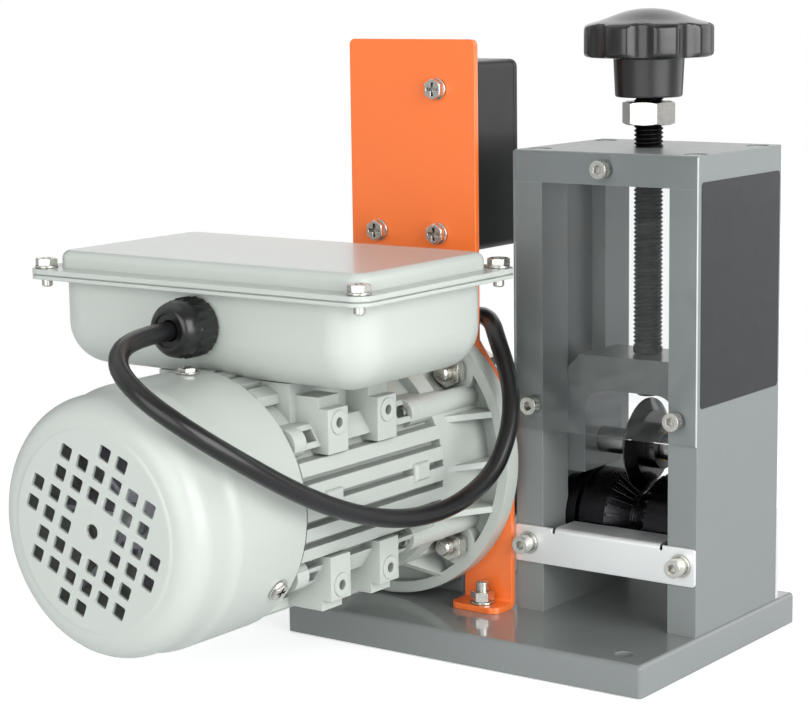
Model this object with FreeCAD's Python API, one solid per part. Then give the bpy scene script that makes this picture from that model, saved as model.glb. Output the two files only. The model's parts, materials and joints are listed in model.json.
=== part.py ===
import FreeCAD, Part
import math
import os

# Electric wire stripping machine, with a motor, a worm gearbox, a toothed feed roller
# and a round cutter that a hand screw lowers onto the wire.
# Lengths are in millimetres and angles in degrees.
# The origin is the middle of the base plate's underside.
# X points right along the front edge, Y to the back and Z up.

# Base plate
base_length = 200.0
base_depth = 150.0
base_thickness = 15.0
base_edge_radius = 2.0
mount_hole_diameter = 9.0
mount_spacing_x = 168.0
mount_spacing_y = 128.0
mount_centre_y = 2.0

# Tower of two side plates and a top plate
tower_centre_x = 49.5
tower_centre_y = 17.5
tower_width = 98.0
tower_depth = 80.0
plate_thickness = 15.0
side_plate_height = 206.5
slot_width = 35.0
slot_depth = 7.5

# Screws and fits
small_thread = 4.0
plate_thread = 5.0
frame_thread = 6.0
flange_thread = 8.0
screw_hole_clearance = 0.1
socket_depth_ratio = 0.5
socket_flats_ratio = 0.8
bored_fit = 0.02
running_fit = 0.06
slide_clearance = 0.2
end_play = 0.3

# Sheet plates on the front and the back of the tower
guard_thickness = 1.5
guard_bottom_z = 104.5
guard_top_gap = 0.5
guard_side_screw_inset = 10.5
guard_side_screw_rise = 11.5
exit_plate_thickness = 1.5
exit_plate_bottom_z = 39.0
exit_plate_top_gap = 0.5
exit_lip_length = 57.0
exit_lip_reach = 16.0
exit_relief_depth = 2.5
exit_corner_radius = 1.5
bend_inner_radius = 1.0
plate_screw_inset = 7.5
plate_screw_z = 48.5
washer_thickness = 1.2
spring_washer_thickness = 1.6
entry_plate_thickness = 2.5
entry_plate_top_z = 60.0

# Feed roller, its shaft and bearings
roller_axis_z = 57.5
roller_diameter = 45.0
roller_length = 51.0
groove_width = 19.5
groove_depth = 9.5
groove_flat = 1.5
tooth_count = 30
tooth_notch_depth = 1.4
tooth_notch_width = 2.6
shaft_diameter = 15.0
shaft_left_reach = 33.0
bearing_outer_diameter = 32.0
bearing_width = 9.0
cartridge_flange_diameter = 40.0
cartridge_flange_thickness = 5.0
cartridge_lip = 2.0
cartridge_lip_diameter = 26.0
key_size = 5.0

# Sliding block with the cutter
block_lowest_z = 80.5
block_height = 57.5
block_shoulder = 14.0
pocket_width = 49.0
pocket_height = 41.0
pocket_corner_radius = 10.0
cutter_axis_z = 94.0
cutter_diameter = 45.0
cutter_thickness = 8.0
cutter_flat_diameter = 34.0
cutter_edge_thickness = 0.2
cutter_hub_diameter = 22.0
cutter_hub_length = 6.0
cutter_bush_diameter = 14.0
axle_diameter = 10.0
axle_inset = 1.0
spacer_diameter = 13.0

# Hand screw and star knob
screw_diameter = 14.0
screw_running_fit = 0.08
journal_diameter = 10.0
journal_reach = 3.5
clip_thickness = 1.2
clip_diameter = 15.0
clip_groove_depth = 0.5
jam_nut_across_flats = 22.0
jam_nut_height = 11.0
jam_nut_bottom_z = 247.0
knob_boss_bottom_z = 260.0
knob_boss_height = 18.5
knob_boss_diameter = 31.5
knob_boss_top_diameter = 33.5
knob_diameter = 61.0
knob_rim_height = 15.5
knob_crown_height = 7.0
knob_lobes = 8
knob_scallop_radius = 9.0
knob_scallop_depth = 3.0
knob_bore_depth = 30.0

# Worm gearbox
gearbox_centre_x = -68.0
centre_distance = 31.0
barrel_diameter = 72.0
barrel_length = 55.0
worm_block_width = 40.0
worm_block_front_y = -16.0
worm_block_back_y = 51.0
worm_block_rise = 25.0
worm_block_radius = 10.0
foot_length = 63.0
foot_front_y = -16.0
foot_back_y = 55.0
foot_thickness = 9.0
input_flange_diameter = 135.0
input_flange_thickness = 8.0
wheel_diameter = 43.4
wheel_width = 16.0
wheel_tooth_count = 30
wheel_tooth_depth = 2.2
wheel_hub_diameter = 25.0
wheel_chamber_clearance = 3.5
hub_bearing_diameter = 47.0
hub_bearing_width = 8.0
seal_diameter = 40.0
seal_width = 6.0
cover_flange_diameter = 66.0
cover_flange_thickness = 4.0
worm_diameter = 18.0
worm_thread_length = 32.0
worm_sleeve_diameter = 17.0
worm_bearing_diameter = 32.0
worm_bearing_width = 9.0
worm_chamber_diameter = 23.0

# Sheet bracket that carries the motor and the switch box
bracket_thickness = 3.0
bracket_gap = 1.5
bracket_disc_diameter = 132.0
bracket_tab_left_x = -92.5
bracket_tab_right_x = -19.0
bracket_top_z = 287.5
bracket_corner_radius = 3.0
bracket_leg_left_x = -27.0
bracket_leg_right_x = 0.4
bracket_leg_top_z = 116.5
bracket_slope_top_z = 145.0
bracket_foot_reach = 14.0
bracket_foot_corner_radius = 5.0
foot_stud_x = -12.0
foot_stud_gap = 7.0
foot_stud_length = 14.0
foot_stud_rise = 11.0
foot_washer_diameter = 12.0
foot_nut_flats = 10.0
nut_height_ratio = 0.8

# Motor, counted back from its flange
flange_diameter = 145.0
flange_thickness = 9.0
flange_pocket_depth = 6.0
flange_rim_width = 5.5
flange_web_thickness = 3.0
flange_web_offset = 23.0
flange_web_angle = 62.0
flange_web_length = 26.0
flange_web_root = 2.0
flange_web_bite = 1.0
flange_bolt_circle = 120.0
flange_lug_radius = 10.5
flange_nut_recess_diameter = 17.0
flange_nut_recess_length = 20.0
flange_washer_diameter = 15.0
flange_washer_thickness = 2.0
flange_bolt_reach = 13.0
register_length = 4.0
tie_hole_depth = 10.0
spigot_diameter = 95.0
shield_hub_diameter = 114.0
shield_length = 40.0
shield_cavity_diameter = 88.0
shield_cavity_depth = 24.0
fin_runout = 9.0
frame_length = 94.0
frame_diameter = 104.0
frame_bore = 96.0
fin_diameter = 116.0
fin_pitch = 9.5
fin_thickness = 6.0
centre_fin_thickness = 6.6
fin_count_each_way = 2
rail_offset = 31.3
rail_thickness = 9.4
fin_lug_length = 11.0
fin_lug_height = 8.3
fin_lug_offset = 60.0
fin_lug_distance = 5.0
fin_lug_root = 2.0
fin_lug_edge_radius = 2.0
pad_offset = 36.5
pad_width = 14.0
pad_rise = 6.5
pad_drop = 13.5
pad_step_rise = 5.0
pad_step_depth = 5.2
pad_face_offset = 56.0
pad_boss_diameter = 10.5
pad_boss_rise = 0.8
pad_hole_diameter = 4.6
pad_hole_depth = 10.0
pad_root_offset = 30.0
front_pad_distance = 33.0
pad_spacing = 36.0
tie_screw_radius = 54.0
tie_screw_angle = 33.0
tie_lug_radius = 6.5
tie_lug_length = 8.0
tie_head_recess_diameter = 9.6
tie_head_recess_length = 9.0
saddle_width = 76.0
saddle_length = 70.0
rear_shield_thickness = 16.0
rear_tie_depth = 7.0
rotor_shaft_diameter = 15.0
shaft_nose_diameter = 11.0
shaft_nose_reach = 35.0
motor_bearing_diameter = 35.0
motor_bearing_width = 11.0
stator_length = 58.0
rotor_diameter = 60.0
air_gap = 0.4
winding_length = 12.0

# Fan and fan cover
cover_diameter = 118.0
cover_length = 70.0
cover_wall = 1.5
cover_corner_radius = 12.0
cover_ring_diameter = 88.0
cover_ring_width = 2.0
cover_ring_rise = 0.6
grille_pitch = 10.0
grille_hole = 6.3
grille_turn = 22.3
grille_reach = 3.6
grille_centre_hole = 6.5
cover_screw_count = 3
cover_screw_angle = 88.0
cover_screw_shift = 3.0
cover_screw_length = 6.0
fan_diameter = 100.0
fan_hub_diameter = 26.0
fan_width = 26.0
fan_gap = 4.0
fan_plate_share = 0.7
fan_plate_thickness = 2.0
fan_blades = 8
fan_blade_thickness = 2.0

# Terminal box on the motor
lid_length = 194.0
lid_depth = 118.0
lid_flange_thickness = 2.3
lid_height = 10.0
lid_step = 8.5
lid_front_step = 11.0
lid_top_edge_radius = 4.0
lid_wall = 3.0
lid_corner_radius = 8.0
box_front_gap = 26.0
tub_inset = 8.0
tub_wall = 3.0
tub_bottom_z = 142.0
tub_edge_radius = 20.0
tub_height = 42.1
tub_flange_thickness = 1.7
gasket_thickness = 0.6
gasket_inset = 1.2
lid_screw_inset = 7.0
capacitor_diameter = 33.0
capacitor_length = 60.0
capacitor_wall_gap = 6.0
capacitor_floor_gap = 3.0
capacitor_middle_gap = 20.0
terminal_block_length = 50.0
terminal_block_depth = 22.0
terminal_block_height = 14.0
terminal_slot_width = 1.6
terminal_slot_depth = 5.0
terminal_ways = 5

# Motor cable and its two glands
cable_diameter = 8.5
gland_diameter = 27.0
gland_nut_thickness = 7.0
gland_length = 20.0
gland_shoulder_length = 14.0
gland_shoulder_radius = 11.5
gland_rim_length = 18.0
gland_rim_radius = 8.5
gland_mouth_radius = 6.0
gland_z = 167.0
box_gland_diameter = 17.0
box_gland_length = 7.0
box_gland_nut_thickness = 3.5
box_gland_x = -81.5
box_gland_y = -9.5
cable_entry_fit = 0.1

# Switch box behind the bracket
switch_box_left_x = -92.0
switch_box_right_x = -23.0
switch_box_bottom_z = 186.5
switch_box_height = 90.5
switch_box_depth = 36.0
switch_box_cover_thickness = 4.0
switch_box_wall = 2.5
switch_box_edge_radius = 4.0
switch_screw_left_inset = 16.0
switch_screw_right_inset = 51.5
switch_screw_low_inset = 8.5
switch_screw_high_inset = 13.0
button_diameter = 16.0
button_collar_diameter = 20.0
button_collar_thickness = 2.0
button_rise = 5.0
button_travel = 3.0
button_spacing = 36.0
button_clearance = 0.3
button_edge_chamfer = 1.0
contact_block_depth = 14.0
contact_block_half_width = 13.0
contact_block_half_height = 14.0

# Places that follow from the sizes above
base_top_z = base_thickness
tower_left_x = tower_centre_x - tower_width / 2
tower_right_x = tower_centre_x + tower_width / 2
tower_front_y = tower_centre_y - tower_depth / 2
tower_back_y = tower_centre_y + tower_depth / 2
side_top_z = base_top_z + side_plate_height
tower_top_z = side_top_z + plate_thickness
inner_half_width = tower_width / 2 - plate_thickness
slot_half_span = inner_half_width + slot_depth
shaft_radius = shaft_diameter / 2
motor_x = gearbox_centre_x
motor_z = roller_axis_z + centre_distance
bracket_back_y = tower_front_y - bracket_gap
bracket_front_y = bracket_back_y - bracket_thickness
flange_front_y = bracket_front_y - flange_thickness
shield_front_y = flange_front_y - shield_length
frame_front_y = shield_front_y - frame_length
cover_open_y = frame_front_y - cover_wall - 0.5
cover_face_y = cover_open_y - cover_length
block_top_z = block_lowest_z + block_height
pocket_top_z = block_lowest_z + pocket_height
knob_rim_bottom_z = knob_boss_bottom_z + knob_boss_height
knob_rim_top_z = knob_rim_bottom_z + knob_rim_height
lid_centre_x = motor_x
gland_x = lid_centre_x
lid_back_y = bracket_front_y - flange_thickness - box_front_gap
lid_front_y = lid_back_y - lid_depth
lid_bottom_z = tub_bottom_z + tub_height + gasket_thickness
lid_shoulder_z = lid_bottom_z + lid_flange_thickness
lid_top_z = lid_bottom_z + lid_height
switch_box_front_y = bracket_back_y
switch_box_back_y = switch_box_front_y + switch_box_depth
switch_box_top_z = switch_box_bottom_z + switch_box_height

UNIT_X = FreeCAD.Vector(1, 0, 0)
UNIT_Y = FreeCAD.Vector(0, 1, 0)
UNIT_Z = FreeCAD.Vector(0, 0, 1)


def point(x, y, z):
    return FreeCAD.Vector(x, y, z)


def on_roller(x):
    return point(x, tower_centre_y, roller_axis_z)


def on_cutter(x):
    return point(x, tower_centre_y, cutter_axis_z)


def on_screw(z):
    return point(tower_centre_x, tower_centre_y, z)


def on_motor(y):
    return point(motor_x, y, motor_z)


def box(x_limits, y_limits, z_limits):
    """A box between two limits along each axis, given in either order."""
    lows = [min(limits) for limits in (x_limits, y_limits, z_limits)]
    spans = [max(limits) - min(limits) for limits in (x_limits, y_limits, z_limits)]
    return Part.makeBox(spans[0], spans[1], spans[2], point(*lows))


def rod(diameter, start, end):
    """A solid cylinder between two points on its axis."""
    run = end - start
    return Part.makeCylinder(diameter / 2, run.Length, start, run)


def ring(outer, inner, start, end):
    """A tube between two points on its axis, given by its two diameters."""
    return rod(outer, start, end).cut(rod(inner, start, end))


def cone(start_diameter, end_diameter, start, end):
    run = end - start
    return Part.makeCone(start_diameter / 2, end_diameter / 2, run.Length, start, run)


def side_vector(direction):
    """A unit vector square to a direction, upright where that is possible."""
    guide = UNIT_X if abs(direction.z) > 0.9 else UNIT_Z
    return (guide - direction * guide.dot(direction)).normalize()


def turned(profile, origin, axis):
    """A solid of revolution from pairs of distance along the axis and radius."""
    across = side_vector(axis)
    corners = [origin + axis * along + across * radius for along, radius in profile]
    face = Part.Face(Part.makePolygon(corners + corners[:1]))
    return face.revolve(origin, axis, 360)


def extruded(corners, run):
    """A prism on a polygon."""
    return Part.Face(Part.makePolygon(corners + corners[:1])).extrude(run)


def hexagon(across_flats, start, end):
    """A hexagonal prism between two points on its axis."""
    run = end - start
    first = FreeCAD.Vector(run).normalize()
    across = side_vector(first)
    beside = first.cross(across)
    reach = across_flats / math.sqrt(3)
    corners = []
    for number in range(6):
        angle = math.radians(60 * number)
        corners.append(start + across * (reach * math.cos(angle)) + beside * (reach * math.sin(angle)))
    return extruded(corners, run)


def edges_along(solid, direction):
    """The straight edges of a solid that run along a direction."""
    found = []
    for edge in solid.Edges:
        if isinstance(edge.Curve, Part.Line) and abs(edge.Curve.Direction.dot(direction)) > 0.999:
            found.append(edge)
    return found


def edges_at(solid, axis_name, value):
    """The edges that lie flat at one place along an axis."""
    found = []
    for edge in solid.Edges:
        limits = edge.BoundBox
        low = getattr(limits, axis_name + "Min")
        high = getattr(limits, axis_name + "Max")
        if abs(low - value) < 0.01 and abs(high - value) < 0.01:
            found.append(edge)
    return found


def fuse_all(solids):
    """One solid from several that meet."""
    joined = solids[0].multiFuse(solids[1:])
    return joined.removeSplitter()


def cut_all(solid, tools):
    return solid.cut(tools)


def spin_copies(solid, count, origin, axis, first_angle=0.0):
    """Copies of a solid spaced evenly about an axis."""
    copies = []
    for number in range(count):
        copy = solid.copy()
        copy.rotate(origin, axis, first_angle + 360.0 * number / count)
        copies.append(copy)
    return copies


def socket_screw(thread, length, seat, direction):
    """A cap screw whose head stands on the seat and whose shank follows the direction."""
    top = seat - direction * thread
    socket = hexagon(socket_flats_ratio * thread, top, top + direction * (socket_depth_ratio * thread))
    head = rod(1.7 * thread, top, seat).cut(socket)
    shank = rod(thread, seat, seat + direction * length)
    return head.fuse(shank)


def hex_size(thread):
    """Across flats of a standard hexagon for a thread."""
    return 1.4 * thread + 2.0


def hex_screw(thread, length, seat, direction):
    head = hexagon(hex_size(thread), seat - direction * (0.66 * thread), seat)
    shank = rod(thread, seat, seat + direction * length)
    return head.fuse(shank)


def washer(thread, seat, direction):
    """A washer that lies on the seat, under a head that points away from it."""
    bore = thread + 2 * screw_hole_clearance
    return ring(2.1 * thread, bore, seat - direction * washer_thickness, seat)


def screw_hole(thread, depth, seat, direction):
    """The round hole that takes a screw's shank, as a cutting tool."""
    return rod(thread + 2 * screw_hole_clearance, seat, seat + direction * depth)


def save(name, solids):
    """Write one named part as a STEP file."""
    shapes = solids if isinstance(solids, list) else [solids]
    pieces = []
    for shape in shapes:
        pieces.extend(shape.Solids)
    shape = pieces[0] if len(pieces) == 1 else Part.makeCompound(pieces)
    shape.exportStep(os.path.join("parts", name + ".step"))


# Base plate and tower

foot_screw_length = 22.0
foot_counterbore_depth = 9.0
top_screw_length = 22.0
top_counterbore_depth = 6.5
sheet_screw_length = 12.0
sheet_screw_hole_depth = 13.0


def mount_hole_places():
    places = []
    for x in (-mount_spacing_x / 2, mount_spacing_x / 2):
        for y in (mount_centre_y - mount_spacing_y / 2, mount_centre_y + mount_spacing_y / 2):
            places.append(point(x, y, 0))
    return places


def tower_screw_places(z):
    """Places in line with the middle of each side plate, near its front and back edges."""
    reach_x = tower_width / 2 - plate_thickness / 2
    reach_y = tower_depth / 2 - 10.0
    places = []
    for x in (tower_centre_x - reach_x, tower_centre_x + reach_x):
        for y in (tower_centre_y - reach_y, tower_centre_y + reach_y):
            places.append(point(x, y, z))
    return places


def gearbox_foot_places(z):
    reach_x = foot_length / 2 - 7.0
    places = []
    for x in (gearbox_centre_x - reach_x, gearbox_centre_x + reach_x):
        for y in (foot_front_y + 8.0, foot_back_y - 8.0):
            places.append(point(x, y, z))
    return places


def base_plate():
    plate = box((-base_length / 2, base_length / 2), (-base_depth / 2, base_depth / 2), (0, base_top_z))
    plate = plate.makeFillet(base_edge_radius, edges_along(plate, UNIT_Z))
    plate = plate.makeFillet(base_edge_radius, edges_at(plate, "Z", base_top_z))
    tools = []
    for place in mount_hole_places():
        tools.append(rod(mount_hole_diameter, place, place + UNIT_Z * base_thickness))
    for place in tower_screw_places(0) + gearbox_foot_places(0):
        tools.append(rod(1.7 * frame_thread + 1.0, place, place + UNIT_Z * foot_counterbore_depth))
        tools.append(screw_hole(frame_thread, base_thickness, place, UNIT_Z))
    tools.append(screw_hole(frame_thread, foot_stud_length, foot_stud_place(), -UNIT_Z))
    return cut_all(plate, tools)


def foot_stud_place():
    return point(foot_stud_x, bracket_front_y - foot_stud_gap, base_top_z)


def side_plate(side):
    """One side plate with its guide slot, which ends round at the roller's axis."""
    outer_x = tower_centre_x + side * tower_width / 2
    inner_x = tower_centre_x + side * inner_half_width
    slot_x = tower_centre_x + side * slot_half_span
    plate = box((outer_x, inner_x), (tower_front_y, tower_back_y), (base_top_z, side_top_z))
    half_slot = slot_width / 2
    tools = [box((inner_x, slot_x), (tower_centre_y - half_slot, tower_centre_y + half_slot),
                 (roller_axis_z, side_top_z))]
    tools.append(rod(slot_width, on_roller(inner_x), on_roller(slot_x)))
    if side < 0:
        tools.append(rod(shaft_diameter + 5.0, on_roller(outer_x), on_roller(slot_x)))
    for place in tower_screw_places(base_top_z):
        tools.append(screw_hole(frame_thread, foot_screw_length, place, UNIT_Z))
    for place in tower_screw_places(side_top_z):
        tools.append(screw_hole(frame_thread, top_screw_length, place, -UNIT_Z))
    for place in exit_screw_places(tower_front_y) + guard_side_screw_places(tower_front_y):
        tools.append(screw_hole(plate_thread, sheet_screw_hole_depth, place, UNIT_Y))
    for place in exit_screw_places(tower_back_y) + guard_side_screw_places(tower_back_y):
        tools.append(screw_hole(plate_thread, sheet_screw_hole_depth, place, -UNIT_Y))
    return cut_all(plate, tools)


def guard_side_screw_places(y):
    z = guard_bottom_z + guard_side_screw_rise
    reach = tower_width / 2 - guard_side_screw_inset
    return [point(tower_centre_x - reach, y, z), point(tower_centre_x + reach, y, z)]


def guard_top_screw_place(y):
    return point(tower_centre_x, y, side_top_z + plate_thickness / 2)


def exit_screw_places(y):
    reach = tower_width / 2 - plate_screw_inset
    return [point(tower_centre_x - reach, y, plate_screw_z), point(tower_centre_x + reach, y, plate_screw_z)]


def top_plate():
    plate = box((tower_left_x, tower_right_x), (tower_front_y, tower_back_y), (side_top_z, tower_top_z))
    bore = screw_diameter + 2 * screw_running_fit
    tools = [rod(bore, on_screw(side_top_z), on_screw(tower_top_z))]
    for place in tower_screw_places(tower_top_z):
        tools.append(rod(1.7 * frame_thread + 1.0, place, place - UNIT_Z * top_counterbore_depth))
        tools.append(screw_hole(frame_thread, plate_thickness, place, -UNIT_Z))
    for y, inward in ((tower_front_y, UNIT_Y), (tower_back_y, -UNIT_Y)):
        tools.append(screw_hole(plate_thread, sheet_screw_hole_depth, guard_top_screw_place(y), inward))
    return cut_all(plate, tools)


def tower_foot_screws():
    length = base_thickness - foot_counterbore_depth + foot_screw_length - 1.0
    places = tower_screw_places(foot_counterbore_depth)
    return [socket_screw(frame_thread, length, place, UNIT_Z) for place in places]


def top_plate_screws():
    seat_z = tower_top_z - top_counterbore_depth
    length = plate_thickness - top_counterbore_depth + top_screw_length - 1.0
    return [socket_screw(frame_thread, length, place, -UNIT_Z) for place in tower_screw_places(seat_z)]


# Sheet plates and guards

def guard(inner_y, outward):
    """A clear sheet on the tower's front or back face."""
    outer_y = inner_y + outward * guard_thickness
    sheet = box((tower_left_x, tower_right_x), (inner_y, outer_y), (guard_bottom_z, tower_top_z - guard_top_gap))
    tools = []
    for place in guard_side_screw_places(outer_y) + [guard_top_screw_place(outer_y)]:
        tools.append(screw_hole(plate_thread, guard_thickness, place, UNIT_Y * -outward))
    return cut_all(sheet, tools)


def guard_screws(inner_y, outward):
    outer_y = inner_y + outward * guard_thickness
    inward = UNIT_Y * -outward
    places = guard_side_screw_places(outer_y) + [guard_top_screw_place(outer_y)]
    return [socket_screw(plate_thread, sheet_screw_length, place, inward) for place in places]


def exit_guide_plate():
    """Bright sheet below the wire's way out, its lip bent back into a shelf."""
    front_y = tower_front_y - exit_plate_thickness
    shelf_top = roller_axis_z
    sheet_top = shelf_top - exit_plate_top_gap
    sheet = box((tower_left_x, tower_right_x), (front_y, tower_front_y), (exit_plate_bottom_z, sheet_top))
    sheet = sheet.makeFillet(exit_corner_radius, edges_along(sheet, UNIT_Y))
    relief_z = sheet_top - exit_relief_depth
    lip_left = tower_centre_x + 2.0 - exit_lip_length / 2
    lip_right = lip_left + exit_lip_length
    inner_radius = bend_inner_radius
    outer_radius = bend_inner_radius + exit_plate_thickness
    lip_end_y = front_y + exit_lip_reach + exit_plate_thickness
    notch = box((lip_left - 1.5, lip_right + 1.5), (front_y, tower_front_y), (relief_z, sheet_top))
    neck = box((lip_left, lip_right), (front_y, tower_front_y), (relief_z, shelf_top - outer_radius))
    shelf = box((lip_left, lip_right), (front_y + outer_radius, lip_end_y),
                (shelf_top - exit_plate_thickness, shelf_top))
    bend_left = point(lip_left, front_y + outer_radius, shelf_top - outer_radius)
    bend_right = point(lip_right, front_y + outer_radius, shelf_top - outer_radius)
    bend = ring(2 * outer_radius, 2 * inner_radius, bend_left, bend_right)
    quarter = box((lip_left, lip_right), (front_y, bend_left.y), (bend_left.z, shelf_top))
    plate = fuse_all([sheet.cut(notch), neck, bend.common(quarter), shelf])
    tools = [screw_hole(plate_thread, exit_plate_thickness, place, UNIT_Y)
             for place in exit_screw_places(front_y)]
    return cut_all(plate, tools)


def exit_plate_screws():
    front_y = tower_front_y - exit_plate_thickness
    solids = []
    for place in exit_screw_places(front_y):
        solids.append(washer(plate_thread, place, UNIT_Y))
        seat = place - UNIT_Y * washer_thickness
        spring_front = seat - UNIT_Y * spring_washer_thickness
        solids.append(ring(1.7 * plate_thread, plate_thread + 2 * screw_hole_clearance, spring_front, seat))
        length = sheet_screw_length + spring_washer_thickness
        solids.append(socket_screw(plate_thread, length, spring_front, UNIT_Y))
    return solids


def entry_guide_plate():
    outer_y = tower_back_y + entry_plate_thickness
    sheet = box((tower_left_x, tower_right_x), (tower_back_y, outer_y), (base_top_z, entry_plate_top_z))
    tools = [screw_hole(plate_thread, entry_plate_thickness, place, -UNIT_Y)
             for place in exit_screw_places(outer_y)]
    return cut_all(sheet, tools)


def entry_plate_screws():
    outer_y = tower_back_y + entry_plate_thickness
    return [socket_screw(plate_thread, sheet_screw_length, place, -UNIT_Y)
            for place in exit_screw_places(outer_y)]


def tower_screws():
    """The screws of the top plate, the two guards and the two guide plates."""
    guards = guard_screws(tower_front_y, -1) + guard_screws(tower_back_y, 1)
    return top_plate_screws() + guards + exit_plate_screws() + entry_plate_screws()


# Feed roller, shaft and bearings

def roller_profile():
    """Half section of the roller, as distance from its middle and radius."""
    half = roller_length / 2
    outer = roller_diameter / 2
    chamfer = 0.6
    bore = shaft_radius + bored_fit
    root = outer - groove_depth
    return [(-half, bore), (-half, outer - chamfer), (-half + chamfer, outer), (-groove_width / 2, outer),
            (-groove_flat / 2, root), (groove_flat / 2, root), (groove_width / 2, outer),
            (half - chamfer, outer), (half, outer - chamfer), (half, bore)]


def tooth_notch(side):
    """A V notch along one flank of the groove, as a cutting tool at the top of the roller."""
    outer = roller_diameter / 2
    root = outer - groove_depth
    foot = on_roller(tower_centre_x + side * groove_flat / 2) + UNIT_Z * root
    brow = on_roller(tower_centre_x + side * groove_width / 2) + UNIT_Z * outer
    flank = (brow - foot).normalize()
    inward = flank.cross(UNIT_Y) * side
    start = foot + flank * 1.0
    run = brow - start + flank * 2.0
    half = tooth_notch_width / 2
    lift = inward * -0.8
    half_above = half * (tooth_notch_depth + 0.8) / tooth_notch_depth
    corners = [start + inward * tooth_notch_depth, start + lift + UNIT_Y * half_above,
               start + lift - UNIT_Y * half_above]
    return extruded(corners, run)


def feed_roller():
    """Roller with a V groove whose two flanks are cut into radial teeth."""
    body = turned(roller_profile(), on_roller(tower_centre_x), UNIT_X)
    tools = []
    for side in (-1, 1):
        tools.extend(spin_copies(tooth_notch(side), tooth_count, on_roller(0), UNIT_X))
    tools.append(key_box(tower_centre_x, roller_length, 0.0))
    return cut_all(body, tools)


def key_box(centre_x, length, play):
    """Square key under the top of the shaft, or its keyway with play on each side."""
    half = key_size / 2 + play
    reach = key_size / 2 + play
    middle_z = roller_axis_z + shaft_radius
    return box((centre_x - length / 2, centre_x + length / 2), (tower_centre_y - half, tower_centre_y + half),
               (middle_z - reach, middle_z + reach))


def roller_shaft():
    left_x = gearbox_centre_x - shaft_left_reach
    right_x = tower_centre_x + slot_half_span - 0.5
    shaft = rod(shaft_diameter, on_roller(left_x), on_roller(right_x))
    keys = [key_box(tower_centre_x, roller_length, 0.0), key_box(gearbox_centre_x, wheel_width * 2, 0.0)]
    return cut_all(shaft, keys)


def shaft_keys():
    return [key_box(tower_centre_x, roller_length, 0.0), key_box(gearbox_centre_x, wheel_width * 2, 0.0)]


def bearing_cartridge(side):
    """Flanged housing that sits in the round end of the guide slot."""
    outer_x = tower_centre_x + side * slot_half_span
    flange_x = tower_centre_x + side * inner_half_width
    inner_x = flange_x - side * cartridge_flange_thickness
    lip_x = inner_x + side * cartridge_lip
    spigot = rod(slot_width - 2 * slide_clearance, on_roller(outer_x), on_roller(flange_x))
    flange = rod(cartridge_flange_diameter, on_roller(flange_x), on_roller(inner_x))
    body = fuse_all([spigot, flange])
    seat = rod(bearing_outer_diameter + 2 * bored_fit, on_roller(outer_x), on_roller(lip_x))
    throat = rod(cartridge_lip_diameter, on_roller(lip_x), on_roller(inner_x))
    return cut_all(body, [seat, throat])


def roller_bearing(side):
    inner_x = tower_centre_x + side * (inner_half_width - cartridge_flange_thickness + cartridge_lip)
    outer_x = inner_x + side * bearing_width
    return ring(bearing_outer_diameter, shaft_diameter + 2 * running_fit, on_roller(inner_x), on_roller(outer_x))


# Sliding block, cutter and axle

def pocket_half():
    return pocket_width / 2


def pressure_block():
    """Guided block, open below round the cutter, with sloped shoulders."""
    half = slot_half_span - slide_clearance
    half_depth = slot_width / 2 - slide_clearance
    front_y = tower_centre_y - half_depth
    shoulder_z = block_top_z - block_shoulder
    corners = [(-half, block_lowest_z), (half, block_lowest_z), (half, shoulder_z),
               (half - block_shoulder, block_top_z), (-half + block_shoulder, block_top_z), (-half, shoulder_z)]
    outline = [point(tower_centre_x + x, front_y, z) for x, z in corners]
    block = extruded(outline, UNIT_Y * (2 * half_depth))
    pocket = box((tower_centre_x - pocket_half(), tower_centre_x + pocket_half()),
                 (front_y, front_y + 2 * half_depth), (block_lowest_z, pocket_top_z))
    top_edges = [edge for edge in edges_at(pocket, "Z", pocket_top_z) if edge.BoundBox.YLength > 1.0]
    pocket = pocket.makeFillet(pocket_corner_radius, top_edges)
    journal = rod(journal_diameter + 2 * running_fit, on_screw(pocket_top_z), on_screw(block_top_z))
    axle = rod(axle_diameter + 2 * bored_fit, on_cutter(tower_centre_x - half), on_cutter(tower_centre_x + half))
    return cut_all(block, [pocket, journal, axle])


def cutter_axle():
    half = slot_half_span - slide_clearance - axle_inset
    return rod(axle_diameter, on_cutter(tower_centre_x - half), on_cutter(tower_centre_x + half))


def cutter_right_face():
    return cutter_thickness / 2 + cutter_hub_length


def axle_spacers():
    """Tubes on the axle that hold the cutter over the roller's groove."""
    inner = axle_diameter + 2 * running_fit
    left = ring(spacer_diameter, inner, on_cutter(tower_centre_x - pocket_half()),
                on_cutter(tower_centre_x - cutter_thickness / 2 - end_play))
    right = ring(spacer_diameter, inner, on_cutter(tower_centre_x + cutter_right_face() + end_play),
                 on_cutter(tower_centre_x + pocket_half()))
    return [left, right]


def cutter_wheel():
    """Round blade ground to an edge on both sides, with a hub on its right."""
    half = cutter_thickness / 2
    bore = cutter_bush_diameter / 2 + bored_fit
    edge = cutter_edge_thickness / 2
    profile = [(-half, bore), (-half, cutter_flat_diameter / 2), (-edge, cutter_diameter / 2),
               (edge, cutter_diameter / 2), (half, cutter_flat_diameter / 2), (half, cutter_hub_diameter / 2),
               (cutter_right_face(), cutter_hub_diameter / 2), (cutter_right_face(), bore)]
    return turned(profile, on_cutter(tower_centre_x), UNIT_X)


def cutter_bush():
    return ring(cutter_bush_diameter, axle_diameter + 2 * running_fit,
                on_cutter(tower_centre_x - cutter_thickness / 2), on_cutter(tower_centre_x + cutter_right_face()))


# Hand screw, nut and knob

def clip_top_z():
    return pocket_top_z - end_play


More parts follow.
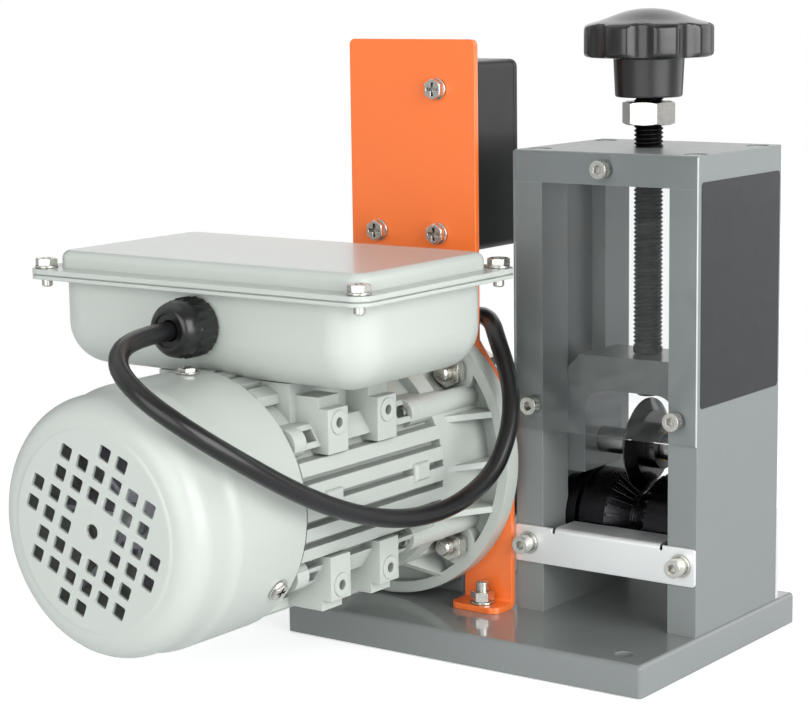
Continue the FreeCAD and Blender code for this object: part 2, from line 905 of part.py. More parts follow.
def adjusting_screw():
    """Screw with a shoulder above the block and a journal through its beam."""
    shoulder_z = block_top_z + slide_clearance
    top_z = knob_boss_bottom_z + knob_bore_depth
    journal_end = pocket_top_z - journal_reach
    groove = journal_diameter / 2 - clip_groove_depth
    journal = journal_diameter / 2
    body = screw_diameter / 2
    clip_low = clip_top_z() - clip_thickness
    profile = [(journal_end, 0), (journal_end, journal), (clip_low, journal), (clip_low, groove),
               (clip_top_z(), groove), (clip_top_z(), journal), (shoulder_z, journal), (shoulder_z, body),
               (top_z, body), (top_z, 0)]
    return turned(profile, on_screw(0), UNIT_Z)


def screw_clip():
    inner = journal_diameter - 2 * clip_groove_depth + 2 * bored_fit
    return ring(clip_diameter, inner, on_screw(clip_top_z() - clip_thickness), on_screw(clip_top_z()))


def jam_nut():
    top_z = jam_nut_bottom_z + jam_nut_height
    nut = hexagon(jam_nut_across_flats, on_screw(jam_nut_bottom_z), on_screw(top_z))
    crown = turned([(jam_nut_bottom_z, 0), (jam_nut_bottom_z, 11.2), (jam_nut_bottom_z + 1.0, 12.8),
                    (top_z - 1.0, 12.8), (top_z, 11.2), (top_z, 0)], on_screw(0), UNIT_Z)
    bore = screw_diameter + 2 * bored_fit
    return nut.common(crown).cut(rod(bore, on_screw(jam_nut_bottom_z), on_screw(top_z)))


def knob_rim():
    """Scalloped rim under a domed crown."""
    radius = knob_diameter / 2
    disc = rod(knob_diameter, on_screw(knob_rim_bottom_z), on_screw(knob_rim_top_z + knob_crown_height))
    centre = on_screw(knob_rim_bottom_z) + UNIT_X * (radius + knob_scallop_radius - knob_scallop_depth)
    scallop = Part.makeCylinder(knob_scallop_radius, knob_rim_height + knob_crown_height, centre)
    scallops = spin_copies(scallop, knob_lobes, on_screw(0), UNIT_Z, 180.0 / knob_lobes)
    crown_z = knob_rim_top_z + knob_crown_height
    across = UNIT_X
    top = on_screw(crown_z)
    brow = on_screw(knob_rim_top_z) + across * (radius - 2.0)
    middle = on_screw(crown_z - 1.9) + across * (radius * 0.55)
    side = on_screw(knob_rim_top_z - 2.5) + across * radius
    low_side = on_screw(knob_rim_bottom_z + 2.5) + across * radius
    low = on_screw(knob_rim_bottom_z) + across * (radius - 2.5)
    foot = on_screw(knob_rim_bottom_z)
    edges = [Part.Arc(top, middle, brow).toShape(), Part.LineSegment(brow, side).toShape(),
             Part.LineSegment(side, low_side).toShape(), Part.LineSegment(low_side, low).toShape(),
             Part.LineSegment(low, foot).toShape(), Part.LineSegment(foot, top).toShape()]
    envelope = Part.Face(Part.Wire(edges)).revolve(on_screw(0), UNIT_Z, 360)
    return cut_all(disc, scallops).common(envelope)


def star_knob():
    boss = cone(knob_boss_diameter, knob_boss_top_diameter, on_screw(knob_boss_bottom_z),
                on_screw(knob_rim_bottom_z))
    knob = fuse_all([boss, knob_rim()])
    bore = rod(screw_diameter + 2 * bored_fit, on_screw(knob_boss_bottom_z),
               on_screw(knob_boss_bottom_z + knob_bore_depth))
    return knob.cut(bore)


# Worm gearbox

def barrel_left_x():
    return gearbox_centre_x - barrel_length / 2


def barrel_right_x():
    return gearbox_centre_x + barrel_length / 2


def chamber_half():
    return wheel_width / 2 + wheel_chamber_clearance


def hub_bearing_left_x():
    return gearbox_centre_x - chamber_half()


def hub_bearing_right_x():
    return gearbox_centre_x + chamber_half()


def flange_bolt_places(y):
    reach = flange_bolt_circle / 2 * math.sqrt(0.5)
    places = []
    for x in (motor_x - reach, motor_x + reach):
        for z in (motor_z - reach, motor_z + reach):
            places.append(point(x, y, z))
    return places


def gearbox_housing():
    """Cast housing with its foot, wheel barrel, worm block and motor flange."""
    barrel = rod(barrel_diameter, on_roller(barrel_left_x()), on_roller(barrel_right_x()))
    half = worm_block_width / 2
    block = box((motor_x - half, motor_x + half), (worm_block_front_y, worm_block_back_y),
                (roller_axis_z, motor_z + worm_block_rise))
    top_edges = [edge for edge in edges_along(block, UNIT_Y) if edge.BoundBox.ZMin > motor_z]
    block = block.makeFillet(worm_block_radius, top_edges)
    foot_half = foot_length / 2
    foot = box((motor_x - foot_half, motor_x + foot_half), (foot_front_y, foot_back_y),
               (base_top_z, base_top_z + foot_thickness))
    web = box((motor_x - half, motor_x + half), (foot_front_y, worm_block_back_y), (base_top_z, roller_axis_z))
    flange_back_y = bracket_back_y + input_flange_thickness
    flange = rod(input_flange_diameter, on_motor(bracket_back_y), on_motor(flange_back_y))
    body = fuse_all([barrel, block, foot, web, flange])
    tools = wheel_side_tools() + worm_side_tools()
    for place in flange_bolt_places(bracket_back_y):
        tools.append(screw_hole(flange_thread, input_flange_thickness, place, UNIT_Y))
    for place in gearbox_foot_places(base_top_z):
        tools.append(screw_hole(frame_thread, foot_thickness, place, UNIT_Z))
    return cut_all(body, tools)


def wheel_side_tools():
    """Wheel chamber, open to the right, with a bearing seat and a seal seat on the left."""
    chamber = wheel_diameter + 2 * wheel_chamber_clearance
    left = hub_bearing_left_x()
    seal_x = barrel_left_x() + seal_width
    return [rod(chamber, on_roller(left), on_roller(barrel_right_x())),
            rod(hub_bearing_diameter + 2 * bored_fit, on_roller(left - hub_bearing_width), on_roller(left)),
            rod(wheel_hub_diameter + 1.0, on_roller(barrel_left_x()), on_roller(left)),
            rod(seal_diameter + 2 * bored_fit, on_roller(barrel_left_x()), on_roller(seal_x))]


def worm_bearing_front_y():
    return worm_block_front_y + 4.0


def worm_bearing_back_y():
    return worm_block_back_y - 6.0 - worm_bearing_width


def worm_side_tools():
    """Worm chamber along the motor's axis, with a bearing seat at each end."""
    seat = worm_bearing_diameter + 2 * bored_fit
    front = worm_bearing_front_y() + worm_bearing_width
    return [rod(worm_chamber_diameter, on_motor(bracket_back_y), on_motor(worm_bearing_back_y())),
            rod(seat, on_motor(bracket_back_y), on_motor(front)),
            rod(seat, on_motor(worm_bearing_back_y()), on_motor(worm_block_back_y))]


def gearbox_cover():
    """Flanged cover that closes the wheel chamber and holds the right bearing."""
    chamber = wheel_diameter + 2 * wheel_chamber_clearance
    right = barrel_right_x()
    spigot_x = hub_bearing_right_x()
    face_x = right + cover_flange_thickness
    seal_x = face_x - seal_width
    profile = [(spigot_x, hub_bearing_diameter / 2 + bored_fit), (spigot_x, chamber / 2 - bored_fit),
               (right, chamber / 2 - bored_fit), (right, cover_flange_diameter / 2),
               (face_x - 1.0, cover_flange_diameter / 2), (face_x, cover_flange_diameter / 2 - 1.0),
               (face_x, seal_diameter / 2 + bored_fit), (seal_x, seal_diameter / 2 + bored_fit),
               (seal_x, wheel_hub_diameter / 2 + 0.5), (spigot_x + hub_bearing_width, wheel_hub_diameter / 2 + 0.5),
               (spigot_x + hub_bearing_width, hub_bearing_diameter / 2 + bored_fit)]
    return turned(profile, on_roller(0), UNIT_X)


def gearbox_bearings():
    """The wheel's two bearings and the worm's two bearings."""
    inner = wheel_hub_diameter + 2 * running_fit
    left = hub_bearing_left_x()
    right = hub_bearing_right_x()
    solids = [ring(hub_bearing_diameter, inner, on_roller(left - hub_bearing_width), on_roller(left)),
              ring(hub_bearing_diameter, inner, on_roller(right), on_roller(right + hub_bearing_width))]
    for y in (worm_bearing_front_y(), worm_bearing_back_y()):
        solids.append(ring(worm_bearing_diameter, worm_sleeve_diameter + 2 * running_fit,
                           on_motor(y), on_motor(y + worm_bearing_width)))
    return solids


def gearbox_seals():
    """Lip seals on the hollow output shaft and the cap behind the worm."""
    inner = wheel_hub_diameter + 2 * running_fit
    left = barrel_left_x()
    right = barrel_right_x() + cover_flange_thickness
    cap_y = worm_bearing_back_y() + worm_bearing_width
    return [ring(seal_diameter, inner, on_roller(left), on_roller(left + seal_width)),
            ring(seal_diameter, inner, on_roller(right - seal_width), on_roller(right)),
            rod(worm_bearing_diameter, on_motor(cap_y), on_motor(worm_block_back_y))]


def gearbox_foot_screws():
    length = base_thickness - foot_counterbore_depth + foot_thickness - 1.0
    return [socket_screw(frame_thread, length, place, UNIT_Z)
            for place in gearbox_foot_places(foot_counterbore_depth)]


def worm_wheel():
    """Toothed wheel on the gearbox's hollow output shaft."""
    half = wheel_width / 2
    hub_left = barrel_left_x() - gearbox_centre_x
    hub_right = barrel_right_x() + cover_flange_thickness - gearbox_centre_x
    outer = wheel_diameter / 2
    hub = wheel_hub_diameter / 2
    bore = shaft_radius + bored_fit
    step = hub + 2.0
    profile = [(hub_left, bore), (hub_left, hub), (-chamber_half(), hub), (-chamber_half(), step), (-half, step),
               (-half, outer - 1.0), (-half + 1.0, outer), (half - 1.0, outer), (half, outer - 1.0),
               (half, step), (chamber_half(), step), (chamber_half(), hub), (hub_right, hub), (hub_right, bore)]
    wheel = turned(profile, on_roller(gearbox_centre_x), UNIT_X)
    top = on_roller(gearbox_centre_x - half - 1.0) + UNIT_Z * outer
    corners = [top - UNIT_Z * wheel_tooth_depth, top + UNIT_Z + UNIT_Y * 1.7, top + UNIT_Z - UNIT_Y * 1.7]
    notch = extruded(corners, UNIT_X * (wheel_width + 2.0))
    notch.rotate(top, UNIT_Z, 5.0)
    tools = spin_copies(notch, wheel_tooth_count, on_roller(0), UNIT_X)
    tools.append(key_box(gearbox_centre_x, wheel_width * 2, 0.0))
    return cut_all(wheel, tools)


def worm():
    """Worm turned on the sleeve that takes the motor's shaft."""
    front = worm_bearing_front_y()
    back = worm_bearing_back_y() + worm_bearing_width
    half = worm_thread_length / 2
    sleeve = worm_sleeve_diameter / 2
    thread = worm_diameter / 2
    bore = shaft_nose_diameter / 2 + bored_fit
    bore_end = shaft_nose_end() + 1.0
    profile = [(front, bore), (front, sleeve), (tower_centre_y - half, sleeve), (tower_centre_y - half, thread),
               (tower_centre_y + half, thread), (tower_centre_y + half, sleeve), (back, sleeve), (back, 0),
               (bore_end, 0), (bore_end, bore)]
    return turned(profile, on_motor(0), UNIT_Y)


# Bracket

def motor_bracket():
    """One bent sheet: motor disc, tab for the switch box, leg and foot."""
    front = bracket_front_y
    back = bracket_back_y
    disc = rod(bracket_disc_diameter, on_motor(front), on_motor(back))
    tab = box((bracket_tab_left_x, bracket_tab_right_x), (front, back), (motor_z, bracket_top_z))
    upper = [edge for edge in edges_along(tab, UNIT_Y) if edge.BoundBox.ZMin > motor_z + 1.0]
    tab = tab.makeFillet(bracket_corner_radius, upper)
    outer_radius = bend_inner_radius + bracket_thickness
    leg_low_z = base_top_z + outer_radius
    corners = [(bracket_leg_left_x, leg_low_z), (bracket_leg_right_x, leg_low_z),
               (bracket_leg_right_x, bracket_leg_top_z), (bracket_tab_right_x, bracket_slope_top_z),
               (bracket_leg_left_x, bracket_slope_top_z)]
    leg = extruded([point(x, front, z) for x, z in corners], UNIT_Y * bracket_thickness)
    sheet = fuse_all([disc, tab, leg, bracket_foot()])
    tools = [rod(spigot_diameter + 2 * screw_hole_clearance, on_motor(front), on_motor(back))]
    for place in flange_bolt_places(front):
        tools.append(screw_hole(flange_thread, bracket_thickness, place, UNIT_Y))
    for place in switch_box_screw_places(front):
        tools.append(screw_hole(plate_thread, bracket_thickness, place, UNIT_Y))
    return cut_all(sheet, tools)


def bracket_foot():
    """Foot bent forward from the leg, with round front corners and a stud hole."""
    outer_radius = bend_inner_radius + bracket_thickness
    bend_y = bracket_back_y - outer_radius
    bend_z = base_top_z + outer_radius
    left = bracket_leg_left_x
    right = bracket_leg_right_x
    bend_ends = (point(left, bend_y, bend_z), point(right, bend_y, bend_z))
    bend = ring(2 * outer_radius, 2 * bend_inner_radius, *bend_ends)
    bend = bend.common(box((left, right), (bend_y, bracket_back_y), (base_top_z, bend_z)))
    front_y = bracket_front_y - bracket_foot_reach
    pad = box((left, right), (front_y, bend_y), (base_top_z, base_top_z + bracket_thickness))
    front_edges = [edge for edge in edges_along(pad, UNIT_Z) if abs(edge.BoundBox.YMin - front_y) < 0.01]
    pad = pad.makeFillet(bracket_foot_corner_radius, front_edges)
    foot = fuse_all([bend, pad])
    return foot.cut(screw_hole(frame_thread, bracket_thickness, foot_stud_place(), UNIT_Z))


def bracket_foot_stud():
    """Stud in the base with its nut and washer on the foot."""
    seat = foot_stud_place() + UNIT_Z * bracket_thickness
    low = foot_stud_place() - UNIT_Z * (foot_stud_length - 1.0)
    stud = rod(frame_thread, low, seat + UNIT_Z * foot_stud_rise)
    bore = frame_thread + 2 * bored_fit
    disc = ring(foot_washer_diameter, bore, seat, seat + UNIT_Z * washer_thickness)
    nut_seat = seat + UNIT_Z * washer_thickness
    nut_top = nut_seat + UNIT_Z * (nut_height_ratio * frame_thread)
    nut = hexagon(foot_nut_flats, nut_seat, nut_top).cut(rod(bore, nut_seat, nut_top))
    return [stud, disc, nut]


def flange_bolts():
    """Four bolts from the gearbox side, each with a washer and nut on the motor flange."""
    head_seat_y = bracket_back_y + input_flange_thickness
    length = head_seat_y - flange_front_y + flange_bolt_reach
    inner = flange_thread + 2 * bored_fit
    solids = []
    for place in flange_bolt_places(head_seat_y):
        solids.append(hex_screw(flange_thread, length, place, -UNIT_Y))
    for place in flange_bolt_places(flange_front_y):
        washer_front = place - UNIT_Y * flange_washer_thickness
        nut_front = washer_front - UNIT_Y * (nut_height_ratio * flange_thread)
        solids.append(ring(flange_washer_diameter, inner, place, washer_front))
        nut = hexagon(hex_size(flange_thread), washer_front, nut_front)
        solids.append(nut.cut(rod(inner, washer_front, nut_front)))
    return solids


def switch_box_screw_places(y):
    left = switch_box_left_x + switch_screw_left_inset
    right = switch_box_left_x + switch_screw_right_inset
    low = switch_box_bottom_z + switch_screw_low_inset
    high = switch_box_top_z - switch_screw_high_inset
    return [point(right, y, high), point(left, y, low), point(right, y, low)]


def switch_box_screws():
    solids = []
    for place in switch_box_screw_places(bracket_front_y):
        solids.append(washer(plate_thread, place, UNIT_Y))
        seat = place - UNIT_Y * washer_thickness
        solids.append(hex_screw(plate_thread, washer_thickness + bracket_thickness + switch_box_wall - 0.2,
                                seat, UNIT_Y))
    return solids


# Motor

def around_motor(radius, angle, y):
    """A point at a radius and an angle above the motor's right side."""
    turn = math.radians(angle)
    return point(motor_x + radius * math.cos(turn), y, motor_z + radius * math.sin(turn))


def tie_angles():
    return [tie_screw_angle, 180 - tie_screw_angle, 180 + tie_screw_angle, -tie_screw_angle]


def flange_webs():
    """Webs that brace the flange's rim from the hub, level ones at the sides and radial ones between."""
    hub = shield_hub_diameter / 2
    rim = flange_diameter / 2 - flange_rim_width + flange_web_bite
    start_y = flange_front_y - flange_web_length
    end_y = flange_front_y + flange_pocket_depth
    half = flange_web_thickness / 2
    webs = []
    for height in (0.0, flange_web_offset, -flange_web_offset):
        root = math.sqrt(hub ** 2 - height ** 2) - flange_web_root
        reach = math.sqrt(rim ** 2 - (abs(height) + half) ** 2)
        corners = [(root, start_y), (reach, flange_front_y), (reach, end_y), (root, end_y)]
        for side in (-1, 1):
            outline = [point(motor_x + side * x, y, motor_z + height - half) for x, y in corners]
            webs.append(extruded(outline, UNIT_Z * flange_web_thickness))
    root = hub - flange_web_root
    corners = [(root, start_y), (rim, flange_front_y), (rim, end_y), (root, end_y)]
    outline = [point(motor_x + x, y, motor_z - half) for x, y in corners]
    for angle in (flange_web_angle, 180 - flange_web_angle, 180 + flange_web_angle, -flange_web_angle):
        web = extruded(outline, UNIT_Z * flange_web_thickness)
        web.rotate(on_motor(0), UNIT_Y, angle)
        webs.append(web)
    return webs


def front_bearing_y():
    return shield_front_y + shield_cavity_depth


def motor_end_shield():
    """Cast end shield, a cup with the mounting flange, its rim, webs, pockets and lugs."""
    flange = rod(flange_diameter, on_motor(flange_front_y), on_motor(bracket_front_y))
    rim_inner = flange_diameter - 2 * flange_rim_width
    pocket = ring(rim_inner, shield_hub_diameter - 8.0, on_motor(flange_front_y),
                  on_motor(flange_front_y + flange_pocket_depth))
    lugs = flange_webs() + frame_fins(shield_front_y, shield_front_y + fin_runout)
    for place in flange_bolt_places(flange_front_y):
        lugs.append(rod(2 * flange_lug_radius, place, place + UNIT_Y * flange_pocket_depth))
    root = rod(frame_diameter, on_motor(shield_front_y), on_motor(shield_front_y + fin_runout))
    hub = rod(shield_hub_diameter, on_motor(shield_front_y + fin_runout),
              on_motor(flange_front_y + flange_pocket_depth))
    for angle in tie_angles():
        lugs.append(rod(2 * tie_lug_radius, around_motor(tie_screw_radius, angle, shield_front_y),
                        around_motor(tie_screw_radius, angle, flange_front_y + flange_pocket_depth)))
    spigot = rod(spigot_diameter, on_motor(bracket_front_y), on_motor(bracket_back_y))
    register_front = shield_front_y - register_length
    register = rod(frame_bore - 2 * bored_fit, on_motor(register_front), on_motor(shield_front_y))
    body = fuse_all([flange.cut(pocket), root, hub, spigot, register] + lugs)
    seat_start = front_bearing_y()
    seat_end = seat_start + motor_bearing_width
    tools = [rod(shield_cavity_diameter, on_motor(register_front), on_motor(seat_start)),
             rod(motor_bearing_diameter + 2 * bored_fit, on_motor(seat_start), on_motor(seat_end)),
             rod(rotor_shaft_diameter + 2.0, on_motor(seat_end), on_motor(bracket_back_y))]
    for place in flange_bolt_places(flange_front_y):
        tools.append(screw_hole(flange_thread, flange_thickness, place, UNIT_Y))
        tools.append(rod(flange_nut_recess_diameter, place, place - UNIT_Y * flange_nut_recess_length))
    for angle in tie_angles():
        place = around_motor(tie_screw_radius, angle, shield_front_y)
        tools.append(screw_hole(small_thread, tie_hole_depth, place, UNIT_Y))
    return cut_all(body, tools)


def frame_fins(start_y, end_y):
    """Level fins and rails on both sides, cut round at the outer diameter."""
    heights = [(0.0, centre_fin_thickness), (rail_offset, rail_thickness), (-rail_offset, rail_thickness)]
    for number in range(1, fin_count_each_way + 1):
        heights.append((number * fin_pitch, fin_thickness))
        heights.append((-number * fin_pitch, fin_thickness))
    half = fin_diameter / 2
    bars = []
    for middle, thickness in heights:
        bars.append(box((motor_x - half, motor_x + half), (start_y, end_y),
                        (motor_z + middle - thickness / 2, motor_z + middle + thickness / 2)))
    envelope = rod(fin_diameter, on_motor(start_y), on_motor(end_y))
    return [bar.common(envelope) for bar in bars]


def fin_lugs():
    """Two small lugs on the middle fin of each side, near the frame's ends."""
    front = shield_front_y - fin_lug_distance
    rear = frame_front_y + fin_lug_distance + fin_lug_length + tie_lug_length
    lugs = []
    for y in (front, rear):
        x_limits = (motor_x + frame_bore / 2 + fin_lug_root, motor_x + fin_lug_offset)
        lug = box(x_limits, (y - fin_lug_length, y), (motor_z, motor_z + fin_lug_height))
        lug = lug.makeFillet(fin_lug_edge_radius, edges_at(lug, "X", x_limits[1]))
        lugs.append(lug)
        turned_lug = lug.copy()
        turned_lug.rotate(on_motor(0), UNIT_Y, 180)
        lugs.append(turned_lug)
    return lugs


def pad_places():
    """Middles of the four foot pads on each side, as side, distance along and up or down."""
    places = []
    for side in (-1, 1):
        for y in (shield_front_y - front_pad_distance, shield_front_y - front_pad_distance - pad_spacing):
            for up in (-1, 1):
                places.append((side, y, up))
    return places


def between_heights(up, low, high):
    """Heights above or below the motor's axis, mirrored where up is -1."""
    ends = sorted((up * low, up * high))
    return motor_z + ends[0], motor_z + ends[1]


def frame_pads():
    """Stepped pads: a face plate with a boss, and a higher root behind it."""
    solids = []
    for side, y, up in pad_places():
        inner_x = motor_x + side * pad_root_offset
        step_x = motor_x + side * (pad_face_offset - pad_step_depth)
        face_x = motor_x + side * pad_face_offset
        width = (y - pad_width / 2, y + pad_width / 2)
        plate_top = pad_offset + pad_rise
        plate_heights = between_heights(up, pad_offset - pad_drop, plate_top)
        root_heights = between_heights(up, pad_offset, plate_top + pad_step_rise)
        solids.append(box((inner_x, face_x), width, plate_heights))
        solids.append(box((inner_x, step_x), width, root_heights))
        boss = point(face_x, y, motor_z + up * pad_offset)
        solids.append(rod(pad_boss_diameter, boss, boss + UNIT_X * (side * pad_boss_rise)))
    return solids


def motor_frame():
    """Finned frame with side rails, foot pads, tie lugs and a saddle for the terminal box."""
    core = rod(frame_diameter, on_motor(frame_front_y), on_motor(shield_front_y))
    solids = [core] + frame_fins(frame_front_y, shield_front_y) + fin_lugs() + frame_pads()
    for angle in tie_angles():
        start = around_motor(tie_screw_radius, angle, shield_front_y - tie_lug_length)
        end = around_motor(tie_screw_radius, angle, shield_front_y)
        solids.append(rod(2 * tie_lug_radius, start, end))
        rear = around_motor(tie_screw_radius, angle, frame_front_y)
        solids.append(rod(2 * tie_lug_radius, rear, rear + UNIT_Y * tie_lug_length))
    middle_y = (lid_front_y + lid_back_y) / 2
    solids.append(box((motor_x - saddle_width / 2, motor_x + saddle_width / 2),
                      (middle_y - saddle_length / 2, middle_y + saddle_length / 2), (motor_z, tub_bottom_z)))
    body = fuse_all(solids)
    tools = [rod(frame_bore, on_motor(frame_front_y), on_motor(shield_front_y))]
    for side, y, up in pad_places():
        face_x = motor_x + side * (pad_face_offset + pad_boss_rise)
        mouth = point(face_x, y, motor_z + up * pad_offset)
        tools.append(rod(pad_hole_diameter, mouth, mouth - UNIT_X * (side * pad_hole_depth)))
    for angle in tie_angles():
        for end_y, inward in ((shield_front_y, -UNIT_Y), (frame_front_y, UNIT_Y)):
            end = around_motor(tie_screw_radius, angle, end_y)
            head_seat = end + inward * tie_lug_length
            tools.append(screw_hole(small_thread, tie_lug_length, end, inward))
            recess_end = head_seat + inward * tie_head_recess_length
            tools.append(rod(tie_head_recess_diameter, head_seat, recess_end))
    return cut_all(body, tools)


def tie_screws():
    """Hex screws that hold the two end shields to the frame's lugs."""
    solids = []
    for angle in tie_angles():
        front = around_motor(tie_screw_radius, angle, shield_front_y - tie_lug_length)
        solids.append(hex_screw(small_thread, tie_lug_length + tie_hole_depth - 1.0, front, UNIT_Y))
        rear = around_motor(tie_screw_radius, angle, frame_front_y + tie_lug_length)
        solids.append(hex_screw(small_thread, tie_lug_length + rear_tie_depth - 1.0, rear, -UNIT_Y))
    return solids


def rear_shield_front_y():
    return frame_front_y - rear_shield_thickness


def motor_rear_shield():
    """Rear end shield that holds the rear bearing and the fan cover."""
    outer = cover_diameter - 2 * cover_wall - 2 * bored_fit
    disc = rod(outer, on_motor(rear_shield_front_y()), on_motor(frame_front_y))
    register_end = frame_front_y + register_length
    register = rod(frame_bore - 2 * bored_fit, on_motor(frame_front_y), on_motor(register_end))
    body = fuse_all([disc, register])
    seat_front = register_end - motor_bearing_width
    tools = [rod(motor_bearing_diameter + 2 * bored_fit, on_motor(seat_front), on_motor(register_end)),
             rod(rotor_shaft_diameter + 2.0, on_motor(rear_shield_front_y()), on_motor(seat_front))]
    for angle in tie_angles():
        place = around_motor(tie_screw_radius, angle, frame_front_y)
        tools.append(screw_hole(small_thread, rear_tie_depth, place, -UNIT_Y))
    for start, inward in cover_screw_places(outer / 2):
        tools.append(screw_hole(small_thread, cover_screw_length + 1.0, start, inward))
    return cut_all(body, tools)


def cover_screw_places(radius):
    """Places round the cover's open end, each with the direction to the axis."""
    y = (rear_shield_front_y() + cover_open_y) / 2 - cover_screw_shift
    places = []
    for number in range(cover_screw_count):
        start = around_motor(radius, cover_screw_angle + 360.0 * number / cover_screw_count, y)
        places.append((start, (on_motor(y) - start).normalize()))
    return places


def stator_middle_y():
    return (frame_front_y + shield_front_y) / 2


def stator_core():
    half = stator_length / 2
    return ring(frame_bore - 2 * bored_fit, rotor_diameter + 2 * air_gap,
                on_motor(stator_middle_y() - half), on_motor(stator_middle_y() + half))


def stator_windings():
    """The coil heads that stand out at both ends of the core."""
    half = stator_length / 2
    outer = frame_bore - 8.0
    inner = rotor_diameter + 6.0
    front = on_motor(stator_middle_y() + half)
    rear = on_motor(stator_middle_y() - half)
    return [ring(outer, inner, front, front + UNIT_Y * winding_length),
            ring(outer, inner, rear - UNIT_Y * winding_length, rear)]


def motor_bearings():
    inner = rotor_shaft_diameter + 2 * running_fit
    front = front_bearing_y()
    rear = frame_front_y + register_length
    return [ring(motor_bearing_diameter, inner, on_motor(front), on_motor(front + motor_bearing_width)),
            ring(motor_bearing_diameter, inner, on_motor(rear - motor_bearing_width), on_motor(rear))]


def shaft_nose_end():
    return bracket_front_y + shaft_nose_reach


def fan_front_y():
    return rear_shield_front_y() - fan_gap - fan_width


def motor_shaft():
    nose_start = bracket_front_y - 2.0
    rear = fan_front_y() - 3.0
    body = rotor_shaft_diameter / 2
    nose = shaft_nose_diameter / 2
    profile = [(rear, 0), (rear, body), (nose_start, body), (nose_start, nose), (shaft_nose_end(), nose),
               (shaft_nose_end(), 0)]
    return turned(profile, on_motor(0), UNIT_Y)


def rotor_core():
    half = stator_length / 2 - 0.5
    return ring(rotor_diameter, rotor_shaft_diameter + 2 * bored_fit,
                on_motor(stator_middle_y() - half), on_motor(stator_middle_y() + half))


def cooling_fan():
    """Fan with straight blades on a hub and a back plate."""
    front = fan_front_y()
    back = front + fan_width
    hub = rod(fan_hub_diameter, on_motor(front), on_motor(back))
    plate = rod(fan_diameter * fan_plate_share, on_motor(back - fan_plate_thickness), on_motor(back))
    half = fan_blade_thickness / 2
    blade = box((motor_x + fan_hub_diameter / 2 - 1.0, motor_x + fan_diameter / 2), (front + 2.0, back),
                (motor_z - half, motor_z + half))
    blades = spin_copies(blade, fan_blades, on_motor(0), UNIT_Y)
    wheel = fuse_all([hub, plate] + blades)
    return wheel.cut(rod(rotor_shaft_diameter + 2 * bored_fit, on_motor(front), on_motor(back)))


def grille_cutters():
    """Square holes on a turned grid inside a circle, and the round middle hole."""
    half = grille_hole / 2
    cutters = []
    for column in range(-4, 4):
        for row in range(-4, 4):
            across = column + 0.5
            up = row + 0.5
            if 1.0 < across * across + up * up < grille_reach * grille_reach:
                middle_x = motor_x + across * grille_pitch
                middle_z = motor_z + up * grille_pitch
                cutter = box((middle_x - half, middle_x + half), (cover_face_y - 5.0, cover_face_y + 5.0),
                             (middle_z - half, middle_z + half))
                cutter.rotate(on_motor(0), UNIT_Y, grille_turn)
                cutters.append(cutter)
    cutters.append(rod(grille_centre_hole, on_motor(cover_face_y - 5.0), on_motor(cover_face_y + 5.0)))
    return cutters


def fan_cover():
    """Pressed cover with a round edge, an embossed ring and the square-hole grille."""
    outer = rod(cover_diameter, on_motor(cover_face_y), on_motor(cover_open_y))
    outer = outer.makeFillet(cover_corner_radius, edges_at(outer, "Y", cover_face_y))
    inner_face_y = cover_face_y + cover_wall
    inner = rod(cover_diameter - 2 * cover_wall, on_motor(inner_face_y), on_motor(cover_open_y))
    inner = inner.makeFillet(cover_corner_radius - cover_wall, edges_at(inner, "Y", inner_face_y))
    emboss = ring(cover_ring_diameter, cover_ring_diameter - 2 * cover_ring_width,
                  on_motor(cover_face_y - cover_ring_rise), on_motor(cover_face_y + 0.5))
    shell = fuse_all([outer.cut(inner), emboss])
    tools = grille_cutters()
    for start, inward in cover_screw_places(cover_diameter / 2 + 1.0):
        tools.append(screw_hole(small_thread, 5.0, start, inward))
    return cut_all(shell, tools)


def fan_cover_screws():
    solids = []
    for start, inward in cover_screw_places(cover_diameter / 2):
        solids.append(hex_screw(small_thread, cover_screw_length, start, inward))
    return solids


# Terminal box

def lid_limits(inset):
    half = lid_length / 2 - inset
    return (lid_centre_x - half, lid_centre_x + half), (lid_front_y + inset, lid_back_y - inset)


def upright_slab(inset, z_limits, corner_radius):
    """A slab of the lid's outline, set in by a distance, with round upright corners."""
    x_limits, y_limits = lid_limits(inset)
    slab = box(x_limits, y_limits, z_limits)
    return slab.makeFillet(corner_radius, edges_along(slab, UNIT_Z))


def lid_screw_places(z):
    x_limits, y_limits = lid_limits(lid_screw_inset)
    return [point(x, y, z) for x in x_limits for y in y_limits]


def tub_form(inset, bottom_z, top_z, radius):
    """A box with its upright and its lower edges all rounded alike."""
    x_limits, y_limits = lid_limits(inset)
    form = box(x_limits, y_limits, (bottom_z, top_z))
    return form.makeFillet(radius, edges_along(form, UNIT_Z) + edges_at(form, "Z", bottom_z))


def terminal_box():
    """Cast tub with round lower edges and a flange under the lid."""
    tub_top = tub_bottom_z + tub_height
    wall = tub_wall
    tub = tub_form(tub_inset, tub_bottom_z, tub_top, tub_edge_radius)
    flange = upright_slab(0.0, (tub_top - tub_flange_thickness, tub_top), lid_corner_radius)
    body = fuse_all([tub, flange])
    tools = [tub_form(tub_inset + wall, tub_bottom_z + wall, tub_top, tub_edge_radius - wall)]
    for place in lid_screw_places(tub_top):
        tools.append(screw_hole(plate_thread, tub_flange_thickness, place, -UNIT_Z))
    front = point(gland_x, lid_limits(tub_inset)[1][0], gland_z)
    tools.append(rod(cable_diameter + 1.0, front, front + UNIT_Y * wall))
    return cut_all(body, tools)


